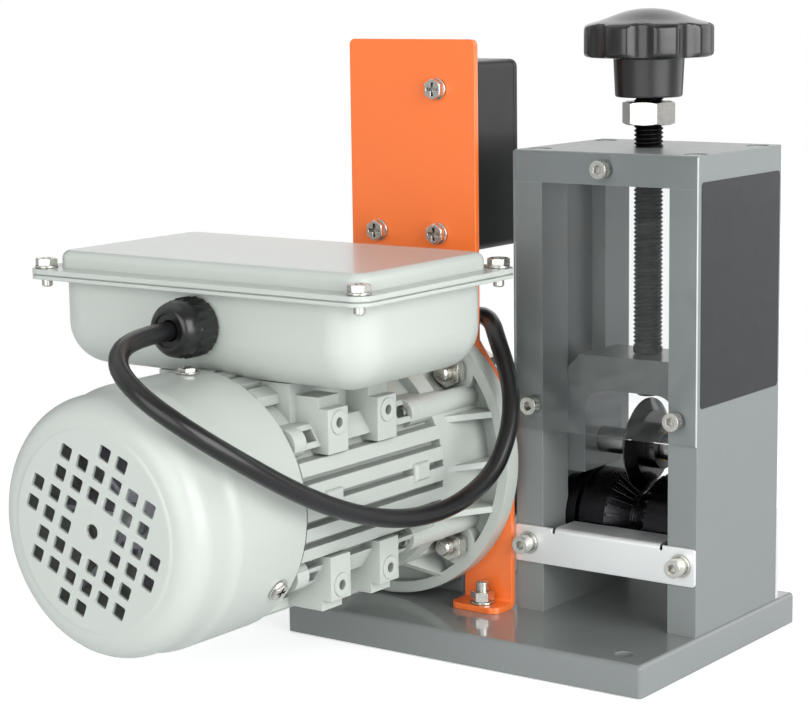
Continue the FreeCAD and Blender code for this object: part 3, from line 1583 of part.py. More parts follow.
def terminal_lid():
    """Lid with a flat flange and a raised middle, hollow below."""
    flange = upright_slab(0.0, (lid_bottom_z, lid_shoulder_z), lid_corner_radius)
    raised_x = lid_limits(lid_step)[0]
    raised_y = lid_limits(lid_front_step)[1]
    raised = box(raised_x, raised_y, (lid_shoulder_z, lid_top_z))
    raised = raised.makeFillet(lid_corner_radius, edges_along(raised, UNIT_Z))
    raised = raised.makeFillet(lid_top_edge_radius, edges_at(raised, "Z", lid_top_z))
    wall = lid_wall
    hollow = box((raised_x[0] + wall, raised_x[1] - wall), (raised_y[0] + wall, raised_y[1] - wall),
                 (lid_bottom_z, lid_top_z - wall))
    hollow = hollow.makeFillet(lid_corner_radius - wall, edges_along(hollow, UNIT_Z))
    lid = fuse_all([flange, raised])
    tools = [hollow]
    for place in lid_screw_places(lid_bottom_z):
        tools.append(screw_hole(plate_thread, lid_flange_thickness, place, UNIT_Z))
    return cut_all(lid, tools)


def lid_gasket():
    """Flat gasket between the two flanges."""
    low = tub_bottom_z + tub_height
    sheet = upright_slab(gasket_inset, (low, lid_bottom_z), lid_corner_radius - gasket_inset)
    tools = [upright_slab(tub_inset + tub_wall, (low, lid_bottom_z), tub_edge_radius - tub_wall)]
    for place in lid_screw_places(low):
        tools.append(screw_hole(plate_thread, gasket_thickness, place, UNIT_Z))
    return cut_all(sheet, tools)


def lid_screws():
    """Hex screws with washers on the lid, their ends below the tub's flange."""
    grip = washer_thickness + lid_flange_thickness + gasket_thickness + tub_flange_thickness
    solids = []
    for place in lid_screw_places(lid_shoulder_z):
        solids.append(washer(plate_thread, place, -UNIT_Z))
        solids.append(hex_screw(plate_thread, grip + 4.0, place + UNIT_Z * washer_thickness, -UNIT_Z))
    return solids


def capacitors():
    """Start and run capacitors side by side at the back of the tub."""
    y_limits = lid_limits(tub_inset)[1]
    y = y_limits[1] - tub_wall - capacitor_diameter / 2 - capacitor_wall_gap
    z = tub_bottom_z + tub_wall + capacitor_diameter / 2 + capacitor_floor_gap
    left = lid_centre_x - capacitor_middle_gap / 2 - capacitor_length
    right = lid_centre_x + capacitor_middle_gap / 2
    ends = [point(x, y, z) for x in (left, right)]
    return [rod(capacitor_diameter, end, end + UNIT_X * capacitor_length) for end in ends]


def terminal_block():
    front_y = lid_limits(tub_inset)[1][0] + tub_edge_radius + 1.0
    floor = tub_bottom_z + tub_wall
    half = terminal_block_length / 2
    block = box((lid_centre_x - half, lid_centre_x + half), (front_y, front_y + terminal_block_depth),
                (floor, floor + terminal_block_height))
    top = floor + terminal_block_height
    slots = []
    for number in range(1, terminal_ways):
        x = lid_centre_x - half + number * terminal_block_length / terminal_ways
        slots.append(box((x - terminal_slot_width / 2, x + terminal_slot_width / 2),
                         (front_y, front_y + terminal_block_depth), (top - terminal_slot_depth, top)))
    return cut_all(block, slots)


# Switch box

def switch_box():
    """Moulded box, open at the back, with a hole below for its gland."""
    shell = box((switch_box_left_x, switch_box_right_x), (switch_box_front_y, switch_box_back_y),
                (switch_box_bottom_z, switch_box_top_z))
    shell = shell.makeFillet(switch_box_edge_radius, edges_along(shell, UNIT_Y))
    wall = switch_box_wall
    hollow = box((switch_box_left_x + wall, switch_box_right_x - wall),
                 (switch_box_front_y + wall, switch_box_back_y),
                 (switch_box_bottom_z + wall, switch_box_top_z - wall))
    tools = [hollow]
    for place in switch_box_screw_places(switch_box_front_y):
        tools.append(screw_hole(plate_thread, switch_box_wall, place, UNIT_Y))
    low = point(box_gland_x, box_gland_y, switch_box_bottom_z)
    tools.append(rod(cable_diameter + 1.0, low, low + UNIT_Z * wall))
    return cut_all(shell, tools)


def button_places():
    """Names and heights of the two buttons, start above stop."""
    middle = (switch_box_bottom_z + switch_box_top_z) / 2
    return [("start_button", middle + button_spacing / 2), ("stop_button", middle - button_spacing / 2)]


def button_x():
    return (switch_box_left_x + switch_box_right_x) / 2


def switch_box_cover():
    back_y = switch_box_back_y + switch_box_cover_thickness
    cover = box((switch_box_left_x, switch_box_right_x), (switch_box_back_y, back_y),
                (switch_box_bottom_z, switch_box_top_z))
    cover = cover.makeFillet(switch_box_edge_radius, edges_along(cover, UNIT_Y))
    tools = []
    for name, z in button_places():
        tools.append(rod(button_diameter + 2 * button_clearance, point(button_x(), switch_box_back_y, z),
                         point(button_x(), back_y, z)))
    return cut_all(cover, tools)


def push_button(z):
    """Round button with a collar that stops it behind the cover."""
    x = button_x()
    collar_back = switch_box_back_y - button_clearance
    collar_front = collar_back - button_collar_thickness
    top_y = switch_box_back_y + switch_box_cover_thickness + button_rise
    cap = rod(button_diameter, point(x, collar_back, z), point(x, top_y, z))
    cap = cap.makeChamfer(button_edge_chamfer, edges_at(cap, "Y", top_y))
    collar = rod(button_collar_diameter, point(x, collar_front, z), point(x, collar_back, z))
    return fuse_all([cap, collar])


def contact_block():
    """Switch contacts on the box's inner wall, clear of the buttons' travel."""
    inner_y = switch_box_front_y + switch_box_wall
    x = button_x()
    solids = []
    for name, z in button_places():
        solids.append(box((x - contact_block_half_width, x + contact_block_half_width),
                          (inner_y, inner_y + contact_block_depth),
                          (z - contact_block_half_height, z + contact_block_half_height)))
    return solids


# Cable and glands

def cable_gland():
    """Gland on the tub's front wall: hexagon, dome nut and cable mouth."""
    front_y = lid_limits(tub_inset)[1][0]
    wall_point = point(gland_x, front_y, gland_z)
    outward = -UNIT_Y
    flats_end = wall_point + outward * gland_nut_thickness
    radius = gland_diameter / 2
    mouth = cable_diameter / 2 + bored_fit
    profile = [(gland_nut_thickness, mouth), (gland_nut_thickness, radius - 1.5),
               (gland_shoulder_length, gland_shoulder_radius), (gland_rim_length, gland_rim_radius),
               (gland_length, gland_mouth_radius), (gland_length, mouth)]
    dome = turned(profile, wall_point, outward)
    nut = hexagon(gland_diameter - 1.5, wall_point, flats_end)
    body = fuse_all([nut, dome])
    return body.cut(rod(2 * mouth, wall_point, flats_end))


def box_gland():
    """Flat gland below the switch box."""
    low = point(box_gland_x, box_gland_y, switch_box_bottom_z)
    radius = box_gland_diameter / 2
    mouth = cable_diameter / 2 + cable_entry_fit
    nut_end = box_gland_nut_thickness
    profile = [(nut_end, mouth), (nut_end, radius - 1.0), (box_gland_length - 1.5, radius - 1.5),
               (box_gland_length, radius - 3.0), (box_gland_length, mouth)]
    dome = turned(profile, low, -UNIT_Z)
    nut = hexagon(box_gland_diameter - 1.0, low, low - UNIT_Z * nut_end)
    body = fuse_all([nut, dome])
    return body.cut(rod(2 * mouth, low, low - UNIT_Z * nut_end))


# Route of the motor cable, from the terminal box's gland to the switch box's gland
cable_route = [
    (-68.0, -189.0, 167.0),
    (-68.0, -216.0, 167.0),
    (-57.5, -237.0, 160.5),
    (-40.0, -243.0, 150.0),
    (-19.0, -238.0, 137.0),
    (-4.0, -218.0, 120.0),
    (3.0, -189.0, 102.0),
    (7.0, -157.0, 88.0),
    (10.0, -125.0, 80.0),
    (14.0, -94.0, 80.0),
    (17.1, -67.5, 90.5),
    (16.6, -53.3, 107.1),
    (11.8, -43.1, 122.0),
    (3.8, -35.2, 133.9),
    (-5.9, -29.3, 147.6),
    (-13.9, -21.4, 153.8),
    (-24.5, -14.5, 155.5),
    (-35.6, -9.1, 152.1),
    (-49.8, -8.9, 148.0),
    (-64.2, -9.5, 150.9),
    (-75.6, -9.5, 160.1),
    (-81.5, -9.5, 173.5),
    (-81.5, -9.5, 186.5),
]


def cable_path():
    """Straight runs joined by tangent arcs, each as large as its two runs allow."""
    places = [point(*place) for place in cable_route]
    edges = []
    radii = []
    last = places[0]
    for before, corner, after in zip(places, places[1:], places[2:]):
        arriving = (corner - before)
        leaving = (after - corner)
        shorter = min(arriving.Length, leaving.Length)
        turn = arriving.getAngle(leaving)
        setback = 0.45 * shorter
        radius = setback / math.tan(turn / 2)
        radii.append(radius)
        start = corner - arriving.normalize() * setback
        end = corner + leaving.normalize() * setback
        to_centre = ((start - corner) + (end - corner)).normalize()
        centre = corner + to_centre * (radius / math.cos(turn / 2))
        middle = centre - to_centre * radius
        edges.append(Part.LineSegment(last, start).toShape())
        edges.append(Part.Arc(start, middle, end).toShape())
        last = end
    edges.append(Part.LineSegment(last, places[-1]).toShape())
    print("cable radii", [round(radius, 1) for radius in radii])
    return Part.Wire(edges)


def motor_cable():
    path = cable_path()
    start = point(*cable_route[0])
    first_run = (point(*cable_route[1]) - start).normalize()
    section = Part.Wire([Part.Circle(start, first_run, cable_diameter / 2).toShape()])
    tube = path.makePipeShell([section], True, False)
    expected = math.pi * cable_diameter * cable_diameter / 4 * path.Length
    print("cable length", round(path.Length, 1), "volume ratio", round(tube.Volume / expected, 4))
    return tube


def build():
    os.makedirs("parts", exist_ok=True)
    save("base_plate", base_plate())
    save("left_side_plate", side_plate(-1))
    save("right_side_plate", side_plate(1))
    save("top_plate", top_plate())
    save("base_screws", tower_foot_screws() + gearbox_foot_screws())
    save("front_guard", guard(tower_front_y, -1))
    save("rear_guard", guard(tower_back_y, 1))
    save("exit_guide_plate", exit_guide_plate())
    save("entry_guide_plate", entry_guide_plate())
    save("tower_screws", tower_screws())
    save("feed_roller", feed_roller())
    save("roller_shaft", roller_shaft())
    save("shaft_keys", shaft_keys())
    save("bearing_cartridges", [bearing_cartridge(-1), bearing_cartridge(1)])
    save("roller_bearings", [roller_bearing(-1), roller_bearing(1)])
    save("pressure_block", pressure_block())
    save("cutter_axle", cutter_axle())
    save("axle_spacers", axle_spacers())
    save("cutter_wheel", cutter_wheel())
    save("cutter_bush", cutter_bush())
    save("adjusting_screw", adjusting_screw())
    save("screw_clip", screw_clip())
    save("jam_nut", jam_nut())
    save("star_knob", star_knob())
    save("gearbox_housing", gearbox_housing())
    save("gearbox_cover", gearbox_cover())
    save("gearbox_bearings", gearbox_bearings())
    save("gearbox_seals", gearbox_seals())
    save("worm_wheel", worm_wheel())
    save("worm", worm())
    save("motor_bracket", motor_bracket())
    save("bracket_foot_stud", bracket_foot_stud())
    save("flange_bolts", flange_bolts())
    save("motor_end_shield", motor_end_shield())
    save("motor_frame", motor_frame())
    save("tie_screws", tie_screws())
    save("motor_rear_shield", motor_rear_shield())
    save("stator_core", stator_core())
    save("stator_windings", stator_windings())
    save("motor_bearings", motor_bearings())
    save("motor_shaft", motor_shaft())
    save("rotor_core", rotor_core())
    save("cooling_fan", cooling_fan())
    save("fan_cover", fan_cover())
    save("fan_cover_screws", fan_cover_screws())
    save("terminal_box", terminal_box())
    save("terminal_lid", terminal_lid())
    save("lid_gasket", lid_gasket())
    save("lid_screws", lid_screws())
    save("capacitors", capacitors())
    save("terminal_block", terminal_block())
    save("switch_box", switch_box())
    save("switch_box_cover", switch_box_cover())
    save("switch_box_screws", switch_box_screws())
    save("contact_block", contact_block())
    save("cable_glands", [cable_gland(), box_gland()])
    save("motor_cable", motor_cable())
    for name, z in button_places():
        save(name, push_button(z))


build()
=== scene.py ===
import json
from math import cos, pi, radians, sin

import bpy
from bpy.props import FloatProperty, FloatVectorProperty, IntProperty, PointerProperty
from mathutils import Matrix, Vector

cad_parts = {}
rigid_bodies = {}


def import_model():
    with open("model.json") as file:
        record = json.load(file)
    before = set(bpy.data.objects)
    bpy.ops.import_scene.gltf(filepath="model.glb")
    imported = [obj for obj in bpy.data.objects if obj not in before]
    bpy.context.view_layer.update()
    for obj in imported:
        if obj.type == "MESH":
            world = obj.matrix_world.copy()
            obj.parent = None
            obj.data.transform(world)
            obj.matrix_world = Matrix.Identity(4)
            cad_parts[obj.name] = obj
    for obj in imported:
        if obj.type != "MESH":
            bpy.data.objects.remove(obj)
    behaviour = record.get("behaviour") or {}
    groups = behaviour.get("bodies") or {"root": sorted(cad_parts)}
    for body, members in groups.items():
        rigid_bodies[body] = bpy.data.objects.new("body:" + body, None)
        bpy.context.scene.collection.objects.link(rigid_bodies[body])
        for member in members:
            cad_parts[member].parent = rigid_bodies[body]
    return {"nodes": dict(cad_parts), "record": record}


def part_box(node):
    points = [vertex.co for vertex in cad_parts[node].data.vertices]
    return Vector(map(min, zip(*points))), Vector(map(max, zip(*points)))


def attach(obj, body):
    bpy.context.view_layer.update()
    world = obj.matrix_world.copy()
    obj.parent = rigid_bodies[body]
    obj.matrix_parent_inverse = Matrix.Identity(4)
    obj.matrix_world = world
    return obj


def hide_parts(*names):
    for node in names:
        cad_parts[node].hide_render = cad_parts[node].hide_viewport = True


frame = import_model()

bl_info = {
    "name": "Wire stripping machine",
    "version": (1, 0, 0),
    "blender": (4, 5, 0),
    "location": "3D View > Sidebar > Stripper",
    "description": "Dresses the bench wire stripping machine with its detailed pieces, finishes and studio",
    "category": "Object",
}

MM = 0.001
Y, Z = Vector((0, 1, 0)), Vector((0, 0, 1))
OUTLINE_MERGE, SOLID_MERGE = 0.000002, 0.000004
SAME_PLANE = 0.4


def linear(hex_colour):
    """A written colour, turned into the linear numbers that shaders take."""
    parts = [int(hex_colour[i:i + 2], 16) / 255 for i in (1, 3, 5)]
    return [p / 12.92 if p <= 0.04045 else ((p + 0.055) / 1.055) ** 2.4 for p in parts]


def mm(x, y, z):
    """A point written in millimetres, in metres."""
    return Vector((x, y, z)) * MM


def low(node_name):
    return Vector(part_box(node_name)[0])


def high(node_name):
    return Vector(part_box(node_name)[1])


def middle(node_name):
    return (low(node_name) + high(node_name)) / 2


# Sizes and colours that a user would change

def size_property(name, description, default):
    return FloatProperty(name=name, description=description, default=default, min=0.0, unit="LENGTH", precision=5)


def colour_property(name, description, default):
    return FloatVectorProperty(name=name, description=description, default=linear(default), size=3, min=0.0,
                               max=1.0, subtype="COLOR")


class StripperSizes(bpy.types.PropertyGroup):
    cable_diameter: size_property("Cable", "Thickness of the motor cable", 0.0085)
    thread_pitch: size_property("Thread pitch", "Rise of the hand screw in one turn", 0.002)
    thread_depth: size_property("Thread depth", "Depth of the hand screw's thread", 0.0011)
    plate_edge: size_property("Plate edge", "Rounding on the edges of the painted plates", 0.0005)
    casting_edge: size_property("Casting edge", "Rounding on the edges of the motor's castings", 0.0006)
    cover_edge: size_property("Cover edge", "Rounding on the edges of the terminal box and its lid", 0.0009)
    sheet_edge: size_property("Sheet edge", "Rounding on the edges of the bent sheets", 0.0003)
    case_edge: size_property("Case edge", "Rounding on the edges of the switch box", 0.0012)
    small_edge: size_property("Small edge", "Rounding on screws and small steel parts", 0.0002)
    knob_edge: size_property("Knob edge", "Rounding on the lobes of the star knob", 0.0011)
    knob_lobes: IntProperty(name="Knob lobes", description="Lobes round the star knob", default=8, min=3, max=16)
    gland_ribs: IntProperty(name="Gland ribs", description="Ribs round a cable gland's nut", default=22, min=8, max=40)


class StripperColours(bpy.types.PropertyGroup):
    grey_enamel: colour_property("Grey enamel", "Satin enamel of the tower and the base", "#818685")
    motor_enamel: colour_property("Motor enamel", "Light enamel of the motor's castings", "#C3C9C3")
    orange_coat: colour_property("Orange coat", "Powder coat of the bracket", "#FC7726")
    knob_black: colour_property("Knob black", "Gloss plastic of the star knob", "#141415")
    box_black: colour_property("Box black", "Matt plastic of the switch box and the gland", "#121213")
    rubber_black: colour_property("Rubber black", "Sheath of the motor cable", "#101012")
    sticker: colour_property("Sticker", "Plain plate on the tower's right face", "#1B1C1E")
    backdrop: colour_property("Backdrop", "Floor of the studio", "#F4F5F6")


# Materials

def fill(tree, node, inputs):
    """Give a node's inputs their values or their links."""
    for name, value in inputs.items():
        if isinstance(value, bpy.types.NodeSocket):
            tree.links.new(value, node.inputs[name])
        else:
            node.inputs[name].default_value = value
    return node


def add(tree, kind, inputs=None, **settings):
    """One node, with its settings, and its inputs given as values or as links."""
    made = tree.nodes.new(kind)
    for name, value in settings.items():
        setattr(made, name, value)
    return fill(tree, made, inputs or {})


def new_material(name, **shader_values):
    """A material with its surface shader, and the coordinates that its patterns read."""
    material = bpy.data.materials.new(name)
    material.use_nodes = True
    tree = material.node_tree
    shader = tree.nodes["Principled BSDF"]
    fill(tree, shader, {socket.replace("_", " "): value for socket, value in shader_values.items()})
    place = add(tree, "ShaderNodeTexCoord").outputs["Object"]
    return material, tree, shader, place


def speckle(tree, place, size, detail=2.0):
    """Soft grain whose lumps are as wide as the size."""
    return add(tree, "ShaderNodeTexNoise", {"Vector": place, "Scale": 1 / size, "Detail": detail}).outputs["Fac"]


def stretched(tree, place, scale):
    """Coordinates drawn out along an axis, for marks that run one way."""
    return add(tree, "ShaderNodeMapping", {"Vector": place, "Scale": scale}).outputs["Vector"]


def ramp(tree, amount, start, end, least=0.0, most=1.0, **settings):
    """The least value where an amount is at the start, the most where it is at the end."""
    return add(tree, "ShaderNodeMapRange", {"Value": amount, "From Min": start, "From Max": end, "To Min": least,
                                            "To Max": most}, **settings).outputs["Result"]


def between(tree, amount, least, most):
    """An amount from 0 to 1, laid out between two values."""
    return ramp(tree, amount, 0.0, 1.0, least, most)


def mixed(tree, amount, first, second):
    """A colour between two, each a colour or a link."""
    return add(tree, "ShaderNodeMix", {0: amount, 6: first, 7: second}, data_type="RGBA").outputs[2]


def shaded(colour, factor):
    """An opaque colour made darker or lighter."""
    return (*[min(1.0, part * factor) for part in colour], 1.0)


def rounded(tree, radius):
    """The surface's normals, over edges that look as round as the radius."""
    return add(tree, "ShaderNodeBevel", {"Radius": radius}, samples=4).outputs["Normal"]


def relief(tree, height, depth, edge):
    """Surface relief of that depth, over edges that look a little round."""
    return add(tree, "ShaderNodeBump", {"Height": height, "Distance": depth, "Strength": 1.0,
                                        "Normal": rounded(tree, edge)}).outputs["Normal"]


def edge_mask(tree, radius):
    """1 on sharp edges and 0 on the flats between them."""
    true = add(tree, "ShaderNodeNewGeometry").outputs["Normal"]
    agree = add(tree, "ShaderNodeVectorMath", {0: rounded(tree, radius), 1: true}, operation="DOT_PRODUCT")
    return ramp(tree, agree.outputs["Value"], 0.995, 0.80)


def open_to_light(tree, reach):
    """1 on open faces, down to 0 in recesses narrower than the reach."""
    node = add(tree, "ShaderNodeAmbientOcclusion", {"Distance": reach}, samples=6)
    return ramp(tree, node.outputs["AO"], 0.15, 0.8)


def painted(name, colour, patches, gloss, grain, edges=None, dust=None, **shader_values):
    """Paint, from patterns that are each a width in metres and then what the pattern changes."""
    # Patches go on with their spread and their darkest and lightest tone, gloss with its smoothest
    # and roughest, grain with its detail, depth and edge radius. Edges add a painted highlight with its
    # radius and tone, and dust adds painted shade in the hollows with its reach and tone.
    material, tree, shader, place = new_material(name, **shader_values)
    width, spread, dark, light = patches
    tone = between(tree, speckle(tree, place, width), 0.5 - spread, 0.5 + spread)
    paint = mixed(tree, tone, shaded(colour, dark), shaded(colour, light))
    # Painted highlight: sharp edges get a lighter tone of the colour.
    if edges:
        paint = mixed(tree, edge_mask(tree, edges[0]), paint, shaded(colour, edges[1]))
    # Painted shade: hollows narrower than the reach get a darker tone of the colour.
    if dust:
        paint = mixed(tree, open_to_light(tree, dust[0]), shaded(colour, dust[1]), paint)
    width, smoothest, roughest = gloss
    rough = between(tree, speckle(tree, place, width), smoothest, roughest)
    width, detail, depth, radius = grain
    normal = relief(tree, speckle(tree, place, width, detail), depth, radius)
    fill(tree, shader, {"Base Color": paint, "Roughness": rough, "Normal": normal})
    return material


def grey_enamel(name, colour, coat, coat_roughness):
    """Satin enamel sprayed on milled plate."""
    # Spraying leaves a fine orange peel about 1.5 mm across. The corners get a painted highlight,
    # a line 1.5 times as light as the colour, and wide soft patches show how evenly it was laid.
    return painted(name, colour, patches=(0.06, 0.15, 0.93, 1.06), gloss=(0.004, 0.33, 0.45),
                   grain=(0.0015, 1.0, 0.00003, 0.0005), edges=(0.0007, 1.5),
                   Coat_Weight=coat, Coat_Roughness=coat_roughness, Specular_IOR_Level=0.35)


def motor_enamel(colour):
    """Light enamel over sand cast aluminium."""
    # The sand leaves grains about 1 mm wide under the paint. The paint has a soft gloss on
    # top of them, its edges get a painted highlight, and painted shade darkens the hollows that
    # are up to about 12 mm across.
    return painted("Motor enamel", colour, patches=(0.05, 0.2, 0.94, 1.04), gloss=(0.006, 0.28, 0.42),
                   grain=(0.0011, 3.0, 0.00006, 0.0007), edges=(0.0008, 1.18), dust=(0.012, 0.62),
                   Coat_Weight=0.12, Coat_Roughness=0.22, Specular_IOR_Level=0.35)


def pressed_enamel(colour):
    """The same enamel on smooth pressed sheet."""
    # Pressed sheet has no sand grain: only the sprayed peel breaks its long highlights.
    return painted("Pressed enamel", colour, patches=(0.07, 0.15, 0.95, 1.03), gloss=(0.005, 0.25, 0.36),
                   grain=(0.002, 1.0, 0.00003, 0.0006),
                   Coat_Weight=0.2, Coat_Roughness=0.12, Specular_IOR_Level=0.3)


def orange_coat(colour):
    """Powder coat baked on bent sheet."""
    # Powder melts into a bubbly gloss skin: dimples near 0.8 mm and a soft broad wave.
    # Its edges get a painted highlight.
    return painted("Orange powder coat", colour, patches=(0.04, 0.2, 0.95, 1.03), gloss=(0.003, 0.28, 0.4),
                   grain=(0.0009, 2.0, 0.00004, 0.0004), edges=(0.0005, 1.25),
                   Coat_Weight=0.9, Coat_Roughness=0.25, Specular_IOR_Level=0.7)


def metal(name, hex_colour, roughness, marks, depth, spread=0.06, grime=0.75, painted_edge_highlight=1.3):
    """Bare metal with marks that a tool left, as many in a metre along each axis as is given."""
    # The marks carry both the roughness and a very shallow relief, so that the highlight
    # breaks up the way the tool ran: 4000 in a metre is one in 0.25 mm. Handling leaves faint
    # darker patches, the sharp edges get a painted highlight, and sockets and the space under
    # rims get painted shade, down to 0.12 of the colour.
    colour, edge = linear(hex_colour), 0.0003
    material, tree, shader, place = new_material(name, Metallic=1.0)
    base = mixed(tree, speckle(tree, place, 0.012, 4.0), shaded(colour, grime), shaded(colour, 1.0))
    edge_highlighted = mixed(tree, edge_mask(tree, edge), base, shaded(colour, painted_edge_highlight))
    shaded_in_recesses = mixed(tree, open_to_light(tree, 0.0025), shaded(colour, 0.12), edge_highlighted)
    lines = speckle(tree, stretched(tree, place, marks), 1.0, 3.0)
    rough = between(tree, lines, roughness - spread, roughness + spread)
    fill(tree, shader, {"Base Color": shaded_in_recesses, "Roughness": rough, "Normal": relief(tree, lines, depth, edge)})
    return material


def moulded(name, colour, roughness, coat, grain, depth):
    """Plastic or rubber from a mould, with the mould's own grain on it."""
    # Spark cut moulds print a fine even grain. Handling polishes it in patches.
    material, tree, shader, place = new_material(name, Coat_Weight=coat, Coat_Roughness=0.08)
    patches = between(tree, speckle(tree, place, 0.02), 0.2, 0.8)
    tone = mixed(tree, patches, shaded(colour, 0.85), shaded(colour, 1.15))
    worn = between(tree, speckle(tree, place, 0.009, 3.0), roughness - 0.06, roughness + 0.06)
    normal = relief(tree, speckle(tree, place, grain), depth, 0.0004)
    fill(tree, shader, {"Base Color": tone, "Roughness": worn, "Normal": normal})
    return material


def clear_sheet():
    """Polycarbonate guard sheet."""
    # Most light goes straight through. Wiping leaves a faint haze in streaks about 55 mm
    # wide and 200 mm high, and the sawn rim gathers light, so the sheet has a pale outline.
    material, tree, shader, place = new_material("Clear polycarbonate")
    tree.nodes.remove(shader)
    haze = between(tree, speckle(tree, stretched(tree, place, (18, 18, 5)), 1.0, 3.0), 0.0, 0.03)
    facing = add(tree, "ShaderNodeSeparateXYZ", {"Vector": add(tree, "ShaderNodeNewGeometry").outputs["Normal"]})
    flat = add(tree, "ShaderNodeMath", {0: facing.outputs["Y"]}, operation="ABSOLUTE").outputs[0]
    rim = ramp(tree, flat, 0.98, 0.6, 0.0, 0.6)
    veil = add(tree, "ShaderNodeMath", {0: haze, 1: rim}, operation="MAXIMUM").outputs[0]
    see_through = add(tree, "ShaderNodeBsdfTransparent", {"Color": (0.995, 1.0, 1.0, 1)}).outputs["BSDF"]
    dust = add(tree, "ShaderNodeBsdfDiffuse", {"Color": (0.85, 0.87, 0.88, 1)}).outputs["BSDF"]
    body = add(tree, "ShaderNodeMixShader", {0: veil, 1: see_through, 2: dust}).outputs["Shader"]
    shine = add(tree, "ShaderNodeBsdfGlossy", {"Color": (1, 1, 1, 1), "Roughness": 0.04}).outputs["BSDF"]
    mirror = add(tree, "ShaderNodeFresnel", {"IOR": 1.28}).outputs["Fac"]
    surface = add(tree, "ShaderNodeMixShader", {0: mirror, 1: body, 2: shine}).outputs["Shader"]
    fill(tree, tree.nodes["Material Output"], {"Surface": surface})
    return material


def make_finishes(colours):
    """Every finish of the machine, under the name of its slot."""
    along_x, round_z, fine = (60, 4000, 4000), (900, 900, 2600), (700, 700, 700)
    return {
        "grey_paint": grey_enamel("Grey enamel", colours.grey_enamel, 0.2, 0.2),
        "base_paint": grey_enamel("Waxed grey enamel", colours.grey_enamel, 1.0, 0.07),
        # The pressure block's enamel at 0.6 of the grey: partly oil, partly painted shade.
        "oily_shaded_paint": grey_enamel("Oily and shaded grey enamel", shaded(colours.grey_enamel, 0.6)[:3], 0.35, 0.15),
        "motor_paint": motor_enamel(colours.motor_enamel),
        "pressed_paint": pressed_enamel(colours.motor_enamel),
        "orange_paint": orange_coat(colours.orange_coat),
        "bright_steel": metal("Bright rolled sheet", "#FCFEFE", 0.5, along_x, 0.000001, spread=0.02, grime=0.97),
        "zinc_steel": metal("Zinc plated steel", "#E6E4DD", 0.26, fine, 0.000008, painted_edge_highlight=1.5),
        "ground_steel": metal("Ground steel", "#C6C7C8", 0.22, round_z, 0.000005),
        "hardened_steel": metal("Hardened tool steel", "#333235", 0.26, (1500, 1500, 1500), 0.000006, painted_edge_highlight=5.0),
        "polished_steel": metal("Polished tool steel", "#5B595A", 0.16, (3000, 1200, 1200), 0.000003, painted_edge_highlight=2.5),
        "dark_steel": metal("Blackened steel", "#2C2C2E", 0.42, (1100, 1100, 1100), 0.00001),
        "lamination_steel": metal("Stacked sheet steel", "#5F5F62", 0.45, (200, 2000, 200), 0.00002),
        "cast_aluminium": metal("Cast aluminium", "#B9BBBD", 0.42, (900, 900, 900), 0.00003),
        "bronze": metal("Turned bronze", "#B5883F", 0.3, (2500, 900, 900), 0.000006),
        "copper_wire": metal("Enamelled copper wire", "#B4622B", 0.35, (300, 2200, 300), 0.00006),
        "clear_sheet": clear_sheet(),
        "black_plastic": moulded("Gloss phenolic", colours.knob_black, 0.3, 0.35, 0.004, 0.00001),
        "black_moulding": moulded("Matt ABS", colours.box_black, 0.42, 0.1, 0.0007, 0.00003),
        "white_plastic": moulded("White polyamide", linear("#D8D6CC"), 0.4, 0.1, 0.0008, 0.00002),
        "black_rubber": moulded("Black PVC", colours.rubber_black, 0.34, 0.15, 0.006, 0.00001),
        "gland_black": moulded("Black nylon", colours.box_black, 0.3, 0.2, 0.001, 0.00001),
        "green_plastic": moulded("Green button plastic", linear("#1E8A3C"), 0.25, 0.5, 0.003, 0.00001),
        "red_plastic": moulded("Red button plastic", linear("#B71C16"), 0.25, 0.5, 0.003, 0.00001),
        "grey_rubber": moulded("Grey gasket rubber", linear("#B9BEB9"), 0.5, 0.0, 0.001, 0.00002),
        "fan_plastic": moulded("Grey polypropylene", linear("#C6C6D0"), 0.4, 0.1, 0.002, 0.00001),
        "sticker": moulded("Vinyl sticker", colours.sticker, 0.42, 0.05, 0.002, 0.00001),
    }


finishes = {}


def finish_piece(piece, name, body, slot, *replaced, coat=None):
    """Name a piece, give it its finish and let it ride on its body."""
    piece.name = name
    piece.data.name = name
    piece.data.materials.clear()
    piece.data.materials.append(finishes[coat or slot])
    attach(piece, body)
    if replaced:
        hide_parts(*replaced)
    return piece


# Modelling tools

def deselect():
    bpy.ops.object.select_all(action="DESELECT")


def pick(*objects):
    """Select these objects, the first of them active."""
    deselect()
    for item in objects:
        item.select_set(True)
    bpy.context.view_layer.objects.active = objects[0]


def rest_in_mesh(piece):
    """Put the place, turn and scale of a piece into its mesh."""
    pick(piece)
    bpy.ops.object.transform_apply(location=True, rotation=True, scale=True)
    return piece


def joined(pieces):
    pick(*pieces)
    bpy.ops.object.join()
    return bpy.context.object


def use_modifier(piece, kind, **settings):
    """Add a modifier with its settings and apply it."""
    pick(piece)
    modifier = piece.modifiers.new(kind.title(), kind)
    for name, value in settings.items():
        setattr(modifier, name, value)
    bpy.ops.object.modifier_apply(modifier=modifier.name)
    return piece


def round_edges(piece, width, segments=2, angle=35):
    """Bevel every edge sharper than the angle."""
    return use_modifier(piece, "BEVEL", width=width, segments=segments, limit_method="ANGLE",
                        angle_limit=radians(angle), harden_normals=False)


def smooth(piece, angle=35):
    pick(piece)
    bpy.ops.object.shade_smooth_by_angle(angle=radians(angle))
    return use_modifier(piece, "WEIGHTED_NORMAL", keep_sharp=True)


def twin(piece):
    """A copy of a piece with a mesh of its own."""
    pick(piece)
    bpy.ops.object.duplicate(linked=False)
    return bpy.context.object


